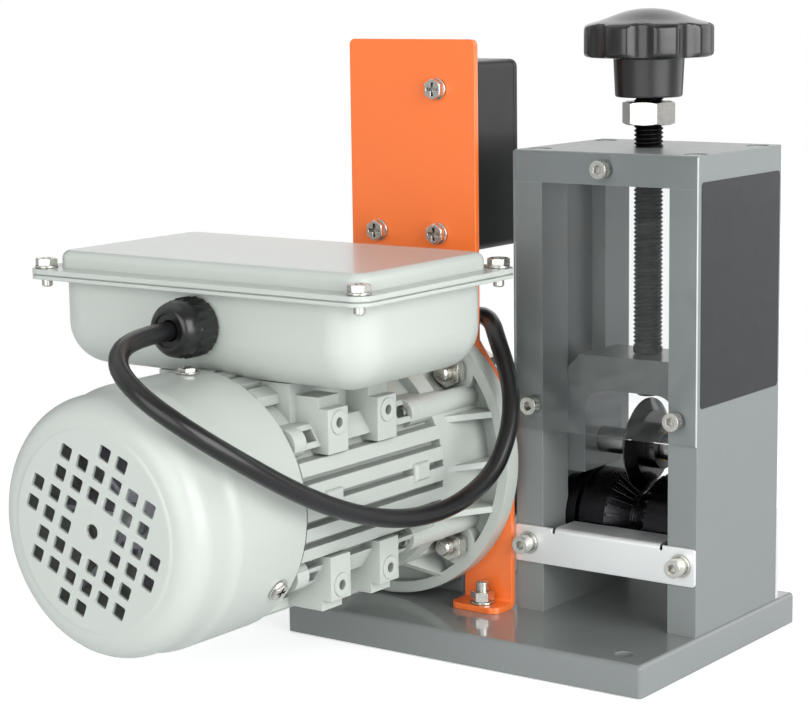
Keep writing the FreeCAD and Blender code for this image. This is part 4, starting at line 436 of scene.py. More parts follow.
def cut(piece, *tools, operation="DIFFERENCE"):
    """Take the tools' shapes out of the piece, or keep only what is in them."""
    for tool in tools:
        use_modifier(piece, "BOOLEAN", operation=operation, object=tool, solver="EXACT")
        bpy.data.objects.remove(tool)
    return piece


def along(direction):
    """The turn that lays the Z axis along a direction."""
    return Vector(direction).to_track_quat("Z", "Y").to_euler()


def stood(piece, place, axis=Z):
    """Stand a piece that was made at the origin at its place, along an axis."""
    piece.location = place
    piece.rotation_euler = along(axis)
    return rest_in_mesh(piece)


def copies(master, stands):
    """Copies of a master stood at each place along its axis, as one piece. The master goes away."""
    made = [stood(twin(master), place, axis) for place, axis in stands]
    bpy.data.objects.remove(master)
    return joined(made)


def block(lowest, highest):
    """A box between two corners."""
    lowest, highest = Vector(lowest), Vector(highest)
    deselect()
    bpy.ops.mesh.primitive_cube_add(size=1, location=(lowest + highest) / 2, scale=highest - lowest)
    return rest_in_mesh(bpy.context.object)


def rod(start, end, radius, sides=48):
    """A round bar from one point to another."""
    start, end = Vector(start), Vector(end)
    deselect()
    bpy.ops.mesh.primitive_cylinder_add(vertices=sides, radius=radius, depth=(end - start).length,
                                        location=(start + end) / 2, rotation=along(end - start))
    return rest_in_mesh(bpy.context.object)


def enter_edit():
    bpy.ops.object.mode_set(mode="EDIT")


def leave_edit():
    bpy.ops.object.mode_set(mode="OBJECT")


def select_all():
    bpy.ops.mesh.select_all(action="SELECT")


def soft_corners(piece, axis, radius, segments):
    """Round the edges of a box that run along an axis, which is 0, 1 or 2."""
    pick(piece)
    enter_edit()
    bpy.ops.mesh.select_mode(type="EDGE")
    bpy.ops.mesh.select_all(action="DESELECT")
    leave_edit()
    points = piece.data.vertices
    for line in piece.data.edges:
        first, second = (points[end].co for end in line.vertices)
        line.select = abs(first[axis] - second[axis]) > 0.1 * MM
    enter_edit()
    bpy.ops.mesh.bevel(offset=radius, segments=segments, affect="EDGES")
    leave_edit()
    return piece


def drawn(outline):
    """An open line of radius and height, in millimetres, drawn point by point."""
    before, *others = [Vector((radius, 0, height)) * MM for radius, height in outline]
    deselect()
    bpy.ops.mesh.primitive_plane_add(size=MM, location=before)
    line = rest_in_mesh(bpy.context.object)
    enter_edit()
    bpy.ops.mesh.select_mode(type="VERT")
    select_all()
    bpy.ops.mesh.merge(type="CENTER")
    for spot in others:
        bpy.ops.mesh.extrude_vertices_move(TRANSFORM_OT_translate={"value": spot - before})
        before = spot
    return line


def made_whole():
    """In edit mode: merge what lies together, close what is open and turn the faces outwards."""
    select_all()
    bpy.ops.mesh.remove_doubles(threshold=OUTLINE_MERGE)
    bpy.ops.mesh.fill_holes(sides=0)
    select_all()
    bpy.ops.mesh.normals_make_consistent(inside=False)
    leave_edit()


def lathe(outline, steps=64):
    """A form turned about Z from its outline of radius and height, in millimetres."""
    form = drawn(outline)
    select_all()
    bpy.ops.mesh.spin(steps=steps, angle=2 * pi, center=(0, 0, 0), axis=(0, 0, 1))
    made_whole()
    return form


def hexagonal(across_flats, start, end, chamfer_start=True, bore=0.0, turn=0.0):
    """A hexagon along Z, in millimetres, its corners turned down to a cone at its ends."""
    corner = across_flats / 3 ** 0.5
    flat, drop = across_flats / 2 * 0.95, 0.35 * (corner - across_flats / 2 * 0.95)
    deselect()
    bpy.ops.mesh.primitive_cylinder_add(vertices=6, radius=corner * MM, depth=(end - start) * MM,
                                        location=(0, 0, (start + end) / 2 * MM), rotation=(0, 0, turn))
    prism = rest_in_mesh(bpy.context.object)
    outline = [(0, start), (flat if chamfer_start else corner + 0.1, start), (corner + 0.01, start + drop),
               (corner + 0.01, end - drop), (flat, end), (0, end)]
    cut(prism, lathe(outline), operation="INTERSECT")
    if bore:
        cut(prism, rod((0, 0, (start - 1) * MM), (0, 0, (end + 1) * MM), bore / 2 * MM))
    return prism


def dressed_copy(node_name, width, segments=2, angle=32):
    """A copy of a solid, its loose triangles merged, its flats made whole and its edges rounded."""
    piece = twin(frame["nodes"][node_name])
    bpy.ops.object.parent_clear(type="CLEAR_KEEP_TRANSFORM")
    enter_edit()
    select_all()
    bpy.ops.mesh.remove_doubles(threshold=SOLID_MERGE)
    bpy.ops.mesh.dissolve_limited(angle_limit=radians(SAME_PLANE))
    leave_edit()
    return smooth(round_edges(piece, width, segments, angle), angle)


# Pieces

def slot_of(node_name):
    return next(part["material_slot"] for part in frame["record"]["subparts"] if part["node"] == node_name)


def body_of(node_name):
    bodies = frame["record"]["behaviour"]["bodies"]
    return next(body for body, names in bodies.items() if node_name in names)


def stand_in(piece, name, node_name, coat=None):
    """Let a modelled piece stand for a solid, on the same body and with the same slot."""
    return finish_piece(piece, name, body_of(node_name), slot_of(node_name), node_name, coat=coat)


def dress(node_names, width, segments=2, coat=None):
    """Put softened copies in the place of these solids."""
    for name in node_names:
        stand_in(dressed_copy(name, width, segments), name + "_dressed", name, coat)


# Places, in millimetres and degrees. An axis is given by the two coordinates that it crosses.

SCREW_AXIS = (49.5, 17.5)
SHOULDER_Z, THREAD_START, THREAD_END = 138.2, 141, 267
THREAD_CREST, JOURNAL_RADIUS = 7.0, 5.0
KNOB_SEAT_Z = 260
STUD_SEAT_Z = 18
MOTOR_AXIS = (-68, 88.5)
COVER_RADIUS, COVER_SCREW_ANGLES = 59, (88, 208, -32)
GRILLE_PITCH, GRILLE_TURN, GRILLE_ROWS = 10, 22.3, 3.6
FIN_PITCH, FIN_EDGE, FIN_CIRCLE = 9.5, 0.6, 57.9
LID_SEAT_Z = 187.0
LID_SCREWS = [(x, y) for x in (-158, 22) for y in (-173, -69)]
BRACKET_FACE_Y = -27
SWITCH_BOX_SCREWS = [(-40.5, 264), (-76, 195), (-40.5, 195)]
WASHER_THICKNESS = 1.2
FLANGE_BOLT_OFFSET, FLANGE_NUT_FLATS = 42.426, 13.2
STICKER_Y, STICKER_Z, STICKER_THICKNESS = (-20, 56), (121.5, 224.5), 0.2
TUB_GLAND, BOX_GLAND = (-68, -172, 167), (-81.5, -9.5, 186.5)

CABLE_ROUTE = [
    (-68, -189, 167), (-68, -216, 167), (-57.5, -237, 160.5), (-40, -243, 150), (-19, -238, 137), (-4, -218, 120),
    (3, -189, 102), (7, -157, 88), (10, -125, 80), (14, -94, 80), (17.1, -67.5, 90.5), (16.6, -53.3, 107.1),
    (11.8, -43.1, 122), (3.8, -35.2, 133.9), (-5.9, -29.3, 147.6), (-13.9, -21.4, 153.8), (-24.5, -14.5, 155.5),
    (-35.6, -9.1, 152.1), (-49.8, -8.9, 148), (-64.2, -9.5, 150.9), (-75.6, -9.5, 160.1), (-81.5, -9.5, 173.5),
    (-81.5, -9.5, 186.5)]


# The studio: each lamp's place in metres, its power and its size, and the soft boxes that only
# mirrors find, each by the way to it and the cosines at which it is full and gone
LAMPS = {"right": ((1.7, -0.5, 0.6), 33, 1.6), "front": ((0.2, -1.9, 0.5), 21, 1.6),
         "top": ((0.1, 0.2, 1.9), 1, 1.6), "back": ((-0.9, 1.4, 0.9), 6, 1.4),
         "back_right": ((0.9, 1.5, 0.7), 7, 1.4)}
LAMP_AIM = (0, -40, 130)
SOFT_BOXES = (((-0.87, -0.44, 0.22), 0.95, 0.86), ((0.95, -0.25, 0.2), 0.95, 0.86), ((-0.42, -0.15, 0.9), 0.93, 0.7))
WALLS_IN_MIRRORS = 0.3

# The photograph's camera: its place in millimetres, its turn in degrees, its frame in pixels,
# and its focal length and the point that it looks at in those pixels
CAMERA_PLACE, CAMERA_TURN = (592.98, -922.95, 315.72), (90 - 9.495, -0.715, 35.716)
FRAME_WIDTH, FRAME_HEIGHT = 808, 704
FOCAL_LENGTH, LOOKED_AT = 2294.2, (422.2, 362.6)
SENSOR_WIDTH = 36


class STRIPPER_OT_stage(bpy.types.Operator):
    """Make the pale studio, its lamps and the camera"""
    bl_idname = "stripper.stage"
    bl_label = "Studio"

    def execute(self, context):
        self.floor(context.scene.stripper_colours.backdrop)
        for name, (place, energy, size) in LAMPS.items():
            deselect()
            aim = (mm(*LAMP_AIM) - Vector(place)).to_track_quat("-Z", "Y").to_euler()
            bpy.ops.object.light_add(type="AREA", location=place, rotation=aim)
            lamp = bpy.context.object
            lamp.name = "studio_" + name
            lamp.data.energy = energy
            lamp.data.size = size
        self.world()
        self.camera()
        return {"FINISHED"}

    def seen_by(self, tree, *rays):
        """1 for what the camera sees straight or by one of these rays."""
        path = add(tree, "ShaderNodeLightPath").outputs
        seen = path["Is Camera Ray"]
        for ray in rays:
            seen = add(tree, "ShaderNodeMath", {0: seen, 1: path[ray]}, operation="MAXIMUM").outputs[0]
        return seen

    def floor(self, paper_colour):
        """White paper that keeps the machine's shadow and runs out into plain white."""
        deselect()
        bpy.ops.mesh.primitive_plane_add(size=40, location=(0, 0, -0.0005))
        floor = bpy.context.object
        floor.name = "studio_floor"
        material, tree, shader, place = new_material("Studio paper", Roughness=1.0, Specular_IOR_Level=0.0)
        paper = mixed(tree, speckle(tree, place, 0.4), shaded(paper_colour, 0.99), shaded(paper_colour, 1.0))
        fill(tree, shader, {"Base Color": paper})
        reach = add(tree, "ShaderNodeVectorMath", {0: place}, operation="LENGTH").outputs["Value"]
        far = ramp(tree, reach, 0.25, 0.75, interpolation_type="SMOOTHSTEP")
        glow = add(tree, "ShaderNodeEmission", {"Color": (1, 1, 1, 1), "Strength": 0.53}).outputs[0]
        near = add(tree, "ShaderNodeAddShader", {0: shader.outputs[0], 1: glow}).outputs[0]
        plain = add(tree, "ShaderNodeEmission", {"Color": (1, 1, 1, 1), "Strength": 1.0}).outputs[0]
        both = add(tree, "ShaderNodeMixShader", {0: far, 1: near, 2: plain}).outputs[0]
        seen = self.seen_by(tree, "Is Transmission Ray")
        whole = add(tree, "ShaderNodeMixShader", {0: seen, 1: shader.outputs[0], 2: both}).outputs[0]
        fill(tree, tree.nodes["Material Output"], {"Surface": whole})
        floor.data.materials.append(material)

    def world(self):
        """Soft light from all round, seen as plain white. Mirrors find grey walls and three white soft boxes."""
        world = bpy.data.worlds.new("Studio")
        bpy.context.scene.world = world
        world.use_nodes = True
        tree = world.node_tree
        way = add(tree, "ShaderNodeTexCoord").outputs["Generated"]
        height = add(tree, "ShaderNodeSeparateXYZ", {"Vector": way}).outputs["Z"]
        ambient = add(tree, "ShaderNodeBackground", {"Color": (0.97, 0.985, 1.0, 1),
                                                     "Strength": between(tree, height, 0.62, 0.22)})
        mirrored = WALLS_IN_MIRRORS
        for aim, full, gone in SOFT_BOXES:
            toward = add(tree, "ShaderNodeVectorMath", {0: way, 1: aim}, operation="DOT_PRODUCT").outputs["Value"]
            lit = ramp(tree, toward, gone, full)
            mirrored = add(tree, "ShaderNodeMath", {0: mirrored, 1: lit}, operation="MAXIMUM").outputs[0]
        glossy = add(tree, "ShaderNodeLightPath").outputs["Is Glossy Ray"]
        white = add(tree, "ShaderNodeBackground", {"Color": (1, 1, 1, 1),
                                                   "Strength": between(tree, glossy, 1.0, mirrored)})
        seen = self.seen_by(tree, "Is Glossy Ray", "Is Transmission Ray")
        both = add(tree, "ShaderNodeMixShader", {0: seen, 1: ambient.outputs[0], 2: white.outputs[0]})
        fill(tree, tree.nodes["World Output"], {"Surface": both.outputs[0]})

    def camera(self):
        """The photograph's camera, fitted to the machine's straight edges."""
        deselect()
        bpy.ops.object.camera_add(location=mm(*CAMERA_PLACE))
        camera = bpy.context.object
        camera.name = "studio_camera"
        tilt, roll, heading = (radians(turn) for turn in CAMERA_TURN)
        turn = Matrix.Rotation(heading, 4, "Z") @ Matrix.Rotation(tilt, 4, "X")
        turn = turn @ Matrix.Rotation(roll, 4, "Z")
        camera.rotation_euler = turn.to_euler()
        camera.data.sensor_width = SENSOR_WIDTH
        camera.data.lens = SENSOR_WIDTH * FOCAL_LENGTH / FRAME_WIDTH
        camera.data.shift_x = -(LOOKED_AT[0] - FRAME_WIDTH / 2) / FRAME_WIDTH
        camera.data.shift_y = (LOOKED_AT[1] - FRAME_HEIGHT / 2) / FRAME_WIDTH
        camera.data.clip_end = 20
        bpy.context.scene.camera = camera


class STRIPPER_OT_cable(bpy.types.Operator):
    """Lay the motor cable from its gland round to the switch box"""
    bl_idname = "stripper.cable"
    bl_label = "Motor cable"

    def execute(self, context):
        sizes = context.scene.stripper_sizes
        deselect()
        bpy.ops.curve.primitive_nurbs_path_add()
        cable = bpy.context.object
        cable.data.splines.clear()
        line = cable.data.splines.new("NURBS")
        line.points.add(len(CABLE_ROUTE) - 1)
        for spot, place in zip(line.points, CABLE_ROUTE):
            spot.co = (*mm(*place), 1)
        line.order_u = 3
        line.use_endpoint_u = True
        line.resolution_u = 6
        cable.location = (0, 0, 0)
        cable.data.dimensions = "3D"
        cable.data.bevel_depth = sizes.cable_diameter / 2
        cable.data.bevel_resolution = 5
        cable.data.use_fill_caps = True
        finish_piece(cable, "cable_sheath", "frame", "black_rubber", "motor_cable")
        return {"FINISHED"}


class STRIPPER_OT_plates(bpy.types.Operator):
    """Soften the edges of the painted plates and of the pressure block"""
    bl_idname = "stripper.plates"
    bl_label = "Painted plates"

    def execute(self, context):
        width = context.scene.stripper_sizes.plate_edge
        dress(("left_side_plate", "right_side_plate", "top_plate"), width)
        # The pressure block's darker enamel is partly oil and partly painted shade.
        dress(("pressure_block",), width, coat="oily_shaded_paint")
        dress(("base_plate",), width, coat="base_paint")
        return {"FINISHED"}


class STRIPPER_OT_castings(bpy.types.Operator):
    """Soften the motor's castings and the gearbox"""
    bl_idname = "stripper.castings"
    bl_label = "Castings"

    def execute(self, context):
        dress(("motor_end_shield", "motor_frame", "gearbox_housing"), context.scene.stripper_sizes.casting_edge)
        return {"FINISHED"}


class STRIPPER_OT_upright_fins(bpy.types.Operator):
    """Stand the upright fins on the top and the underside of the motor's frame"""
    bl_idname = "stripper.upright_fins"
    bl_label = "Upright fins"

    def execute(self, context):
        back, front = high("motor_frame").y, low("motor_frame").y
        axis_x, axis_z = MOTOR_AXIS
        fin = round_edges(block(mm(-3, 0, 44), (0.003, back - front, 0.0585)), FIN_EDGE * MM)
        fins = []
        for number in range(-3, 4):
            fins.append(twin(fin))
            fins[-1].location = mm(number * FIN_PITCH, 0, 0)
            rest_in_mesh(fins[-1])
        bpy.data.objects.remove(fin)
        upper = joined(fins)
        lower = twin(upper)
        lower.rotation_euler = (0, pi, 0)
        fins = joined([upper, rest_in_mesh(lower)])
        cut(fins, rod((0, 0, 0), (0, back - front, 0), FIN_CIRCLE * MM, 96), operation="INTERSECT")
        fins.location = (axis_x * MM, front, axis_z * MM)
        finish_piece(smooth(rest_in_mesh(fins)), "upright_frame_fins", "frame", "motor_paint")
        return {"FINISHED"}


class STRIPPER_OT_fan_cover(bpy.types.Operator):
    """Press the fan cover with its shoulder, its raised face and its grille"""
    bl_idname = "stripper.fan_cover"
    bl_label = "Fan cover"

    def execute(self, context):
        axis_x, axis_z = MOTOR_AXIS
        skirt = [(57.5, 0), (58.8, 0), (59, 0.2), (59, 41), (58.8, 43), (58.2, 44.8), (57.5, 46.6), (57.1, 48.4),
                 (57, 50)]
        face = [(44.6, 70.05), (44.1, 70.3), (43.4, 70.55), (42.6, 70.6), (3.25, 70.6), (3.25, 69.1), (42.4, 69.1),
                (44.2, 68.6)]
        lining = [(55.5, 48), (57.5, 43), (57.5, 0)]
        outline = skirt + self.arc(45, 58, 12) + face + self.arc(45, 58, 10.5)[::-1] + lining
        cover = stood(lathe(outline, 120), mm(axis_x, 0, axis_z) + Vector((0, high("fan_cover").y, 0)), -Y)
        cover = cut(cover, self.holes(low("fan_cover").y))
        stand_in(smooth(cover, 30), "fan_cover_pressed", "fan_cover", "pressed_paint")
        return {"FINISHED"}

    def arc(self, radius, height, bend):
        """The cover's round edge, from its side to its face."""
        parts = 9
        turns = [pi / 2 * number / parts for number in range(parts + 1)]
        return [(radius + bend * cos(turn), height + bend * sin(turn)) for turn in turns]

    def holes(self, face_y):
        """Square holes with soft corners on a turned grid, as one cutting tool."""
        hole = soft_corners(block(mm(-3.15, -3.15, -5), mm(3.15, 3.15, 5)), 2, 0.0009, 3)
        offsets = [number + 0.5 for number in range(-4, 4)]
        grid = [(x, z) for x in offsets for z in offsets if 1 < x * x + z * z < GRILLE_ROWS ** 2]
        tool = copies(hole, [(mm(x * GRILLE_PITCH, 0, z * GRILLE_PITCH), Y) for x, z in grid])
        tool.rotation_euler = (0, radians(GRILLE_TURN), 0)
        tool.location = (MOTOR_AXIS[0] * MM, face_y, MOTOR_AXIS[1] * MM)
        return rest_in_mesh(tool)


class STRIPPER_OT_terminal_box(bpy.types.Operator):
    """Round the terminal box and its pressed lid"""
    bl_idname = "stripper.terminal_box"
    bl_label = "Terminal box"

    def execute(self, context):
        dress(("terminal_box", "terminal_lid"), context.scene.stripper_sizes.cover_edge, 3, "pressed_paint")
        return {"FINISHED"}


class STRIPPER_OT_sheets(bpy.types.Operator):
    """Soften the bracket, the guide plates and the clear guards"""
    bl_idname = "stripper.sheets"
    bl_label = "Bent and flat sheets"

    def execute(self, context):
        width = context.scene.stripper_sizes.sheet_edge
        dress(("motor_bracket", "exit_guide_plate", "entry_guide_plate"), width)
        thinned = 0.93
        for name, outer_y in (("front_guard", low("front_guard").y), ("rear_guard", high("rear_guard").y)):
            guard = dressed_copy(name, width)
            for spot in guard.data.vertices:
                spot.co.y = outer_y + (spot.co.y - outer_y) * thinned
            stand_in(smooth(guard), name + "_dressed", name)
        return {"FINISHED"}


class STRIPPER_OT_switch_case(bpy.types.Operator):
    """Round the moulded switch box and its cover"""
    bl_idname = "stripper.switch_case"
    bl_label = "Switch box"

    def execute(self, context):
        dress(("switch_box", "switch_box_cover"), context.scene.stripper_sizes.case_edge, 3)
        return {"FINISHED"}


class STRIPPER_OT_cap_screws(bpy.types.Operator):
    """Break the edges of the socket cap screws and of the motor's tie screws"""
    bl_idname = "stripper.cap_screws"
    bl_label = "Cap screws"

    def execute(self, context):
        dress(("base_screws", "tower_screws", "tie_screws"), context.scene.stripper_sizes.small_edge)
        return {"FINISHED"}


class STRIPPER_OT_hand_screw(bpy.types.Operator):
    """Turn the hand screw and roll its thread"""
    bl_idname = "stripper.hand_screw"
    bl_label = "Hand screw"

    def execute(self, context):
        sizes = context.scene.stripper_sizes
        pitch, depth, crest = sizes.thread_pitch / MM, sizes.thread_depth / MM, THREAD_CREST
        journal, foot, top = JOURNAL_RADIUS, low("adjusting_screw").z / MM, high("adjusting_screw").z / MM
        turns = int((THREAD_END - THREAD_START) / pitch)
        thread = drawn([(crest - depth, 0), (crest - 0.12, 0.42 * pitch), (crest - 0.12, 0.58 * pitch),
                        (crest - depth, pitch)])
        leave_edit()
        use_modifier(thread, "SCREW", axis="Z", angle=2 * pi, steps=28, render_steps=28, iterations=turns,
                     screw_offset=sizes.thread_pitch, use_merge_vertices=True, merge_threshold=OUTLINE_MERGE,
                     use_smooth_shade=False)
        enter_edit()
        made_whole()
        thread.location = (0, 0, THREAD_START * MM)
        rest_in_mesh(thread)
        lower = lathe([(0, foot), (journal - 0.5, foot), (journal, foot + 0.5), (journal, SHOULDER_Z),
                       (crest - 0.8, SHOULDER_Z), (crest, SHOULDER_Z + 0.8), (crest, THREAD_START + 0.3),
                       (crest - depth, THREAD_START + 1.3), (0, THREAD_START + 1.3)])
        upper = lathe([(0, THREAD_END - 1.3), (crest - depth, THREAD_END - 1.3), (crest, THREAD_END - 0.2),
                       (crest, top - 1), (crest - 1, top), (0, top)])
        screw = stood(joined([thread, lower, upper]), mm(*SCREW_AXIS, 0))
        stand_in(smooth(screw, 30), "hand_screw_threaded", "adjusting_screw", "dark_steel")
        return {"FINISHED"}


class STRIPPER_OT_jam_nut(bpy.types.Operator):
    """Make the hexagon nut that locks the hand screw"""
    bl_idname = "stripper.jam_nut"
    bl_label = "Jam nut"

    def execute(self, context):
        bottom, top = low("jam_nut").z / MM, high("jam_nut").z / MM
        nut = hexagonal(22, bottom, top, bore=14.2, turn=radians(47))
        round_edges(nut, context.scene.stripper_sizes.small_edge, 2, 25)
        stand_in(smooth(stood(nut, mm(*SCREW_AXIS, 0)), 25), "jam_nut_turned", "jam_nut")
        return {"FINISHED"}


class STRIPPER_OT_star_knob(bpy.types.Operator):
    """Turn the star knob and draw in its rim between the lobes"""
    bl_idname = "stripper.star_knob"
    bl_label = "Star knob"

    def execute(self, context):
        sizes = context.scene.stripper_sizes
        knob = lathe([(0, 30), (7.1, 30), (7.1, 0.6), (7.7, 0), (14.9, 0), (15.5, 0.25), (15.8, 0.9), (16.6, 17.4),
                      (17.1, 18.2), (17.8, 18.5), (27.6, 18.5), (29.3, 18.8), (30.2, 19.5), (30.5, 20.8), (30.5, 24),
                      (30.5, 28), (30.5, 31.6), (30.2, 32.8), (29.4, 33.6), (27.9, 34.2), (25.9, 34.8), (23.2, 35.5),
                      (20.2, 36.5), (17, 37.7), (13.6, 38.9), (10, 39.95), (6.5, 40.6), (3.2, 40.93), (0, 41)],
                     sizes.knob_lobes * 20)
        self.draw_in(knob, sizes.knob_lobes, sizes.knob_edge)
        stand_in(smooth(stood(knob, mm(*SCREW_AXIS, KNOB_SEAT_Z)), 40), "star_knob_moulded", "star_knob")
        return {"FINISHED"}

    def draw_in(self, knob, lobes, softness):
        """Pull the rim's points in to round hollows between the lobes."""
        hollow, centre = 0.009, 0.0365
        for spot in knob.data.vertices:
            reach = spot.co.xy.length
            if reach < centre - hollow - softness * 2:
                continue
            off = (spot.co.xy.angle_signed(Vector((1, 0))) + 2 * pi) % (2 * pi / lobes) - pi / lobes
            inside = hollow ** 2 - (centre * sin(off)) ** 2
            if inside <= 0:
                continue
            wall = centre * cos(off) - inside ** 0.5
            gap = wall - reach
            drawn_in = (wall + reach) / 2 - ((gap / 2) ** 2 + (softness / 2) ** 2) ** 0.5 + softness * 0.1
            spot.co.xy = spot.co.xy * (min(reach, drawn_in) / reach)


class STRIPPER_OT_hex_screws(bpy.types.Operator):
    """Make the hexagon screws, nuts and washers of the sheets and of the motor"""
    bl_idname = "stripper.hex_screws"
    bl_label = "Hexagon screws"

    def execute(self, context):
        edge = context.scene.stripper_sizes.small_edge
        self.sheet_screws("lid_screws", "lid_screw_heads", LID_SEAT_Z - low("lid_screws").z / MM, edge,
                          [(mm(x, y, LID_SEAT_Z), Z) for x, y in LID_SCREWS])
        self.cover_screws(edge)
        self.sheet_screws("switch_box_screws", "switch_box_screw_heads",
                          high("switch_box_screws").y / MM - BRACKET_FACE_Y, edge,
                          [(mm(x, BRACKET_FACE_Y, z), -Y) for x, z in SWITCH_BOX_SCREWS])
        self.stud()
        self.flange_bolts(edge)
        return {"FINISHED"}

    def sheet_screws(self, node_name, name, depth, edge, seats):
        """Screws of 5 mm on washers, at seats given by place and outward way, going in to the depth."""
        screw, disc = self.screw(5, 9, depth + WASHER_THICKNESS, edge), self.disc(10.5, 5.2, WASHER_THICKNESS)
        heads = copies(screw, [(place + way * WASHER_THICKNESS * MM, way) for place, way in seats])
        stand_in(smooth(joined([heads, copies(disc, seats)])), name, node_name)

    def cover_screws(self, edge):
        """The screws round the fan cover, each on a thin washer."""
        centre = mm(MOTOR_AXIS[0], middle("fan_cover_screws").y / MM, MOTOR_AXIS[1])
        outward = [Vector((cos(radians(turn)), 0, sin(radians(turn)))) for turn in COVER_SCREW_ANGLES]
        heads = joined([self.screw(4, 7.6, 6.0, edge), self.disc(10.5, 4.2, 0.9)])
        sides = [(centre + way * COVER_RADIUS * MM, way) for way in outward]
        stand_in(smooth(copies(heads, sides)), "cover_screw_heads", "fan_cover_screws")

    def screw(self, thread, across_flats, length, edge):
        """A hexagon screw with a cross recess, its seat at the origin and its shank down Z."""
        height = 0.66 * thread
        head = hexagonal(across_flats, 0, height, chamfer_start=False)
        arm, wide = 0.36 * across_flats * MM, 0.085 * across_flats * MM
        head = cut(head, block((-arm, -wide, 0.45 * height * MM), (arm, wide, 2 * height * MM)),
                   block((-wide, -arm, 0.45 * height * MM), (wide, arm, 2 * height * MM)))
        round_edges(head, edge, 2, 30)
        half = thread / 2
        shank = lathe([(0, 0.2), (half, 0.2), (half, 0.6 - length), (half - 0.6, -length), (0, -length)], 24)
        return joined([head, shank])

    def disc(self, outer, inner, thickness):
        """A washer with rounded rims, lying on the origin."""
        low_r, high_r, soft = inner / 2, outer / 2, 0.2
        return lathe([(low_r, 0), (high_r - soft, 0), (high_r, soft), (high_r, thickness - soft),
                      (high_r - soft, thickness), (low_r, thickness), (low_r, 0)], 40)

    def stud(self):
        """The bracket foot's stud with its nut and washer."""
        x, y = middle("bracket_foot_stud").x / MM, middle("bracket_foot_stud").y / MM
        bottom, top = low("bracket_foot_stud").z / MM, high("bracket_foot_stud").z / MM
        seat = STUD_SEAT_Z
        bar = lathe([(0, bottom), (3, bottom), (3, top - 0.8), (2.2, top), (0, top)], 32)
        nut = hexagonal(10, seat + WASHER_THICKNESS, seat + 6, bore=6.1)
        washer = self.disc(12, 6.2, WASHER_THICKNESS)
        washer.location = (0, 0, seat * MM)
        stud = stood(joined([bar, nut, rest_in_mesh(washer)]), mm(x, y, 0))
        stand_in(smooth(stud), "bracket_stud_and_nut", "bracket_foot_stud")

    def flange_bolts(self, edge):
        """Four bolts through the gearbox flange, with nuts on the motor's side."""
        axis_x, axis_z = MOTOR_AXIS
        front, back = low("flange_bolts").y / MM, high("flange_bolts").y / MM
        bolt = lathe([(0, 0), (4, 0), (4, front - back + 1), (3.2, front - back), (0, front - back)], 32)
        head = round_edges(hexagonal(FLANGE_NUT_FLATS, -5.3, 0, chamfer_start=False), edge, 2, 30)
        nut = hexagonal(FLANGE_NUT_FLATS, front - back + 5.6, front - back + 12, bore=8.1)
        around = [(mm(axis_x + side * FLANGE_BOLT_OFFSET, back, axis_z + rise * FLANGE_BOLT_OFFSET), Y)
                  for side in (-1, 1) for rise in (-1, 1)]
        stand_in(smooth(copies(joined([bolt, head, nut]), around)), "flange_bolts_and_nuts", "flange_bolts")


class STRIPPER_OT_glands(bpy.types.Operator):
    """Mould the two ribbed cable glands"""
    bl_idname = "stripper.glands"
    bl_label = "Cable glands"

    def execute(self, context):
        ribs = context.scene.stripper_sizes.gland_ribs
        tub = stood(self.gland(13.4, 20, ribs), mm(*TUB_GLAND), -Y)
        box = stood(self.gland(8.4, 7, ribs - 4), mm(*BOX_GLAND), -Z)
        stand_in(smooth(joined([tub, box]), 40), "cable_gland_nuts", "cable_glands", "gland_black")
        return {"FINISHED"}

    def gland(self, radius, length, ribs):
        """A dome nut on a ribbed grip, standing on the origin, with its mouth at the far end."""
        mouth, skirt, grip = 4.32, radius - 0.8, 0.55
        foot = [(mouth, 0), (skirt - 0.5, 0), (skirt, 0.04), (skirt, 0.08), (skirt, grip), (skirt, grip + 0.03)]
        dome = [(0.94, grip + 0.06), (0.93, 0.74), (0.88, 0.86), (0.79, 0.95), (0.69, 0.99), (0.62, 1.0), (0.57, 0.99),
                (0.55, 0.95)]
        rim = [(mouth + 0.5, 0.94), (mouth, 0.9), (mouth, 0)]
        outline = foot + [(radius * share, height) for share, height in dome] + rim
        gland = lathe([(reach, height * length) for reach, height in outline], ribs * 4)
        for spot in gland.data.vertices:
            turn = spot.co.xy.angle_signed(Vector((1, 0))) * ribs / (2 * pi) % 1.0
            on_grip = 0.06 * length < spot.co.z / MM < grip * length + 0.01
            on_skirt = on_grip and spot.co.xy.length > (skirt - 0.1) * MM
            if on_skirt and turn < 0.45:
                spot.co.xy = spot.co.xy * (radius / skirt)
        return gland


class STRIPPER_OT_sticker(bpy.types.Operator):
    """Lay the plain dark sheet on the tower's right face"""
    bl_idname = "stripper.sticker"
    bl_label = "Plain sticker"

    def execute(self, context):
        face = high("right_side_plate").x / MM
        sheet = block(mm(face, STICKER_Y[0], STICKER_Z[0]), mm(face + STICKER_THICKNESS, STICKER_Y[1], STICKER_Z[1]))
        sheet = smooth(soft_corners(sheet, 0, 0.002, 5))
        finish_piece(sheet, "plain_side_sticker", "frame", "black_moulding", coat="sticker")
        return {"FINISHED"}


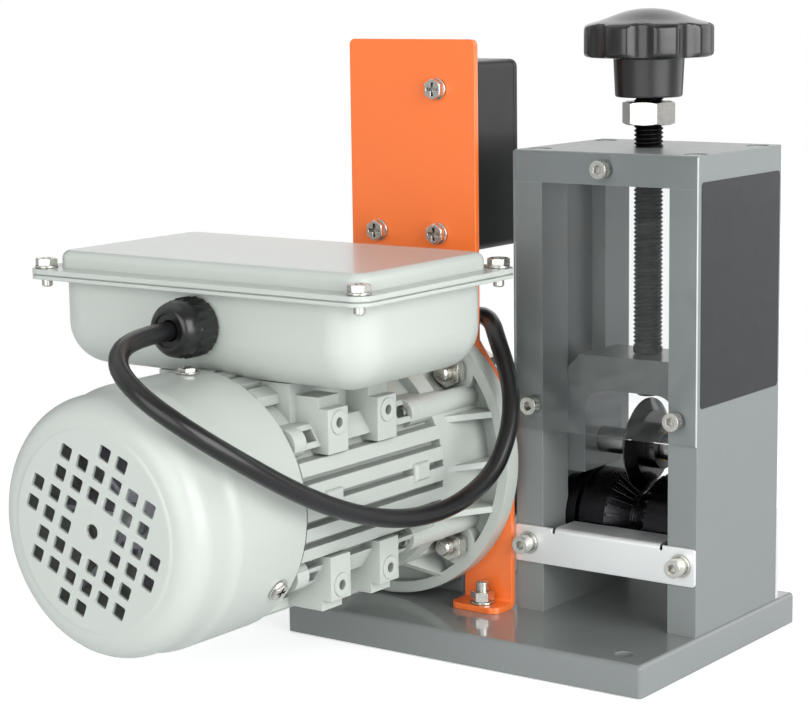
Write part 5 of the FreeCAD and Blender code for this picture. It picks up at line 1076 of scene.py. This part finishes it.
class STRIPPER_OT_finishes(bpy.types.Operator):
    """Give every solid that stays its finish"""
    bl_idname = "stripper.finishes"
    bl_label = "Finishes"

    def execute(self, context):
        special = {"cutter_wheel": "polished_steel", "lid_gasket": "grey_rubber", "cooling_fan": "fan_plastic"}
        for entry in frame["record"]["subparts"]:
            name = entry["node"]
            for slot in frame["nodes"][name].material_slots:
                slot.material = finishes[special.get(name, entry["material_slot"])]
        return {"FINISHED"}


class STRIPPER_PT_panel(bpy.types.Panel):
    """Sidebar list of the machine's pieces"""
    bl_label = "Wire stripping machine"
    bl_idname = "STRIPPER_PT_panel"
    bl_space_type = "VIEW_3D"
    bl_region_type = "UI"
    bl_category = "Stripper"

    def draw(self, context):
        for operator in OPERATORS:
            self.layout.operator(operator.bl_idname)


OPERATORS = (STRIPPER_OT_stage, STRIPPER_OT_cable, STRIPPER_OT_plates, STRIPPER_OT_castings,
             STRIPPER_OT_upright_fins, STRIPPER_OT_fan_cover, STRIPPER_OT_terminal_box,
             STRIPPER_OT_sheets, STRIPPER_OT_switch_case, STRIPPER_OT_cap_screws, STRIPPER_OT_hand_screw,
             STRIPPER_OT_jam_nut, STRIPPER_OT_star_knob, STRIPPER_OT_hex_screws, STRIPPER_OT_glands,
             STRIPPER_OT_sticker, STRIPPER_OT_finishes)
CLASSES = (StripperSizes, StripperColours, *OPERATORS, STRIPPER_PT_panel)


def register():
    for item in CLASSES:
        bpy.utils.register_class(item)
    bpy.types.Scene.stripper_sizes = PointerProperty(type=StripperSizes)
    bpy.types.Scene.stripper_colours = PointerProperty(type=StripperColours)


def unregister():
    del bpy.types.Scene.stripper_colours
    del bpy.types.Scene.stripper_sizes
    for item in reversed(CLASSES):
        bpy.utils.unregister_class(item)


def main():
    for item in [o for o in bpy.data.objects if o.name in ("Cube", "Light", "Camera")]:
        bpy.data.objects.remove(item)
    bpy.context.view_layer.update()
    register()
    bpy.context.scene.view_settings.view_transform = "Standard"
    finishes.update(make_finishes(bpy.context.scene.stripper_colours))
    for operator in OPERATORS:
        family, name = operator.bl_idname.split(".")
        getattr(getattr(bpy.ops, family), name)()


if __name__ == "__main__":
    main()
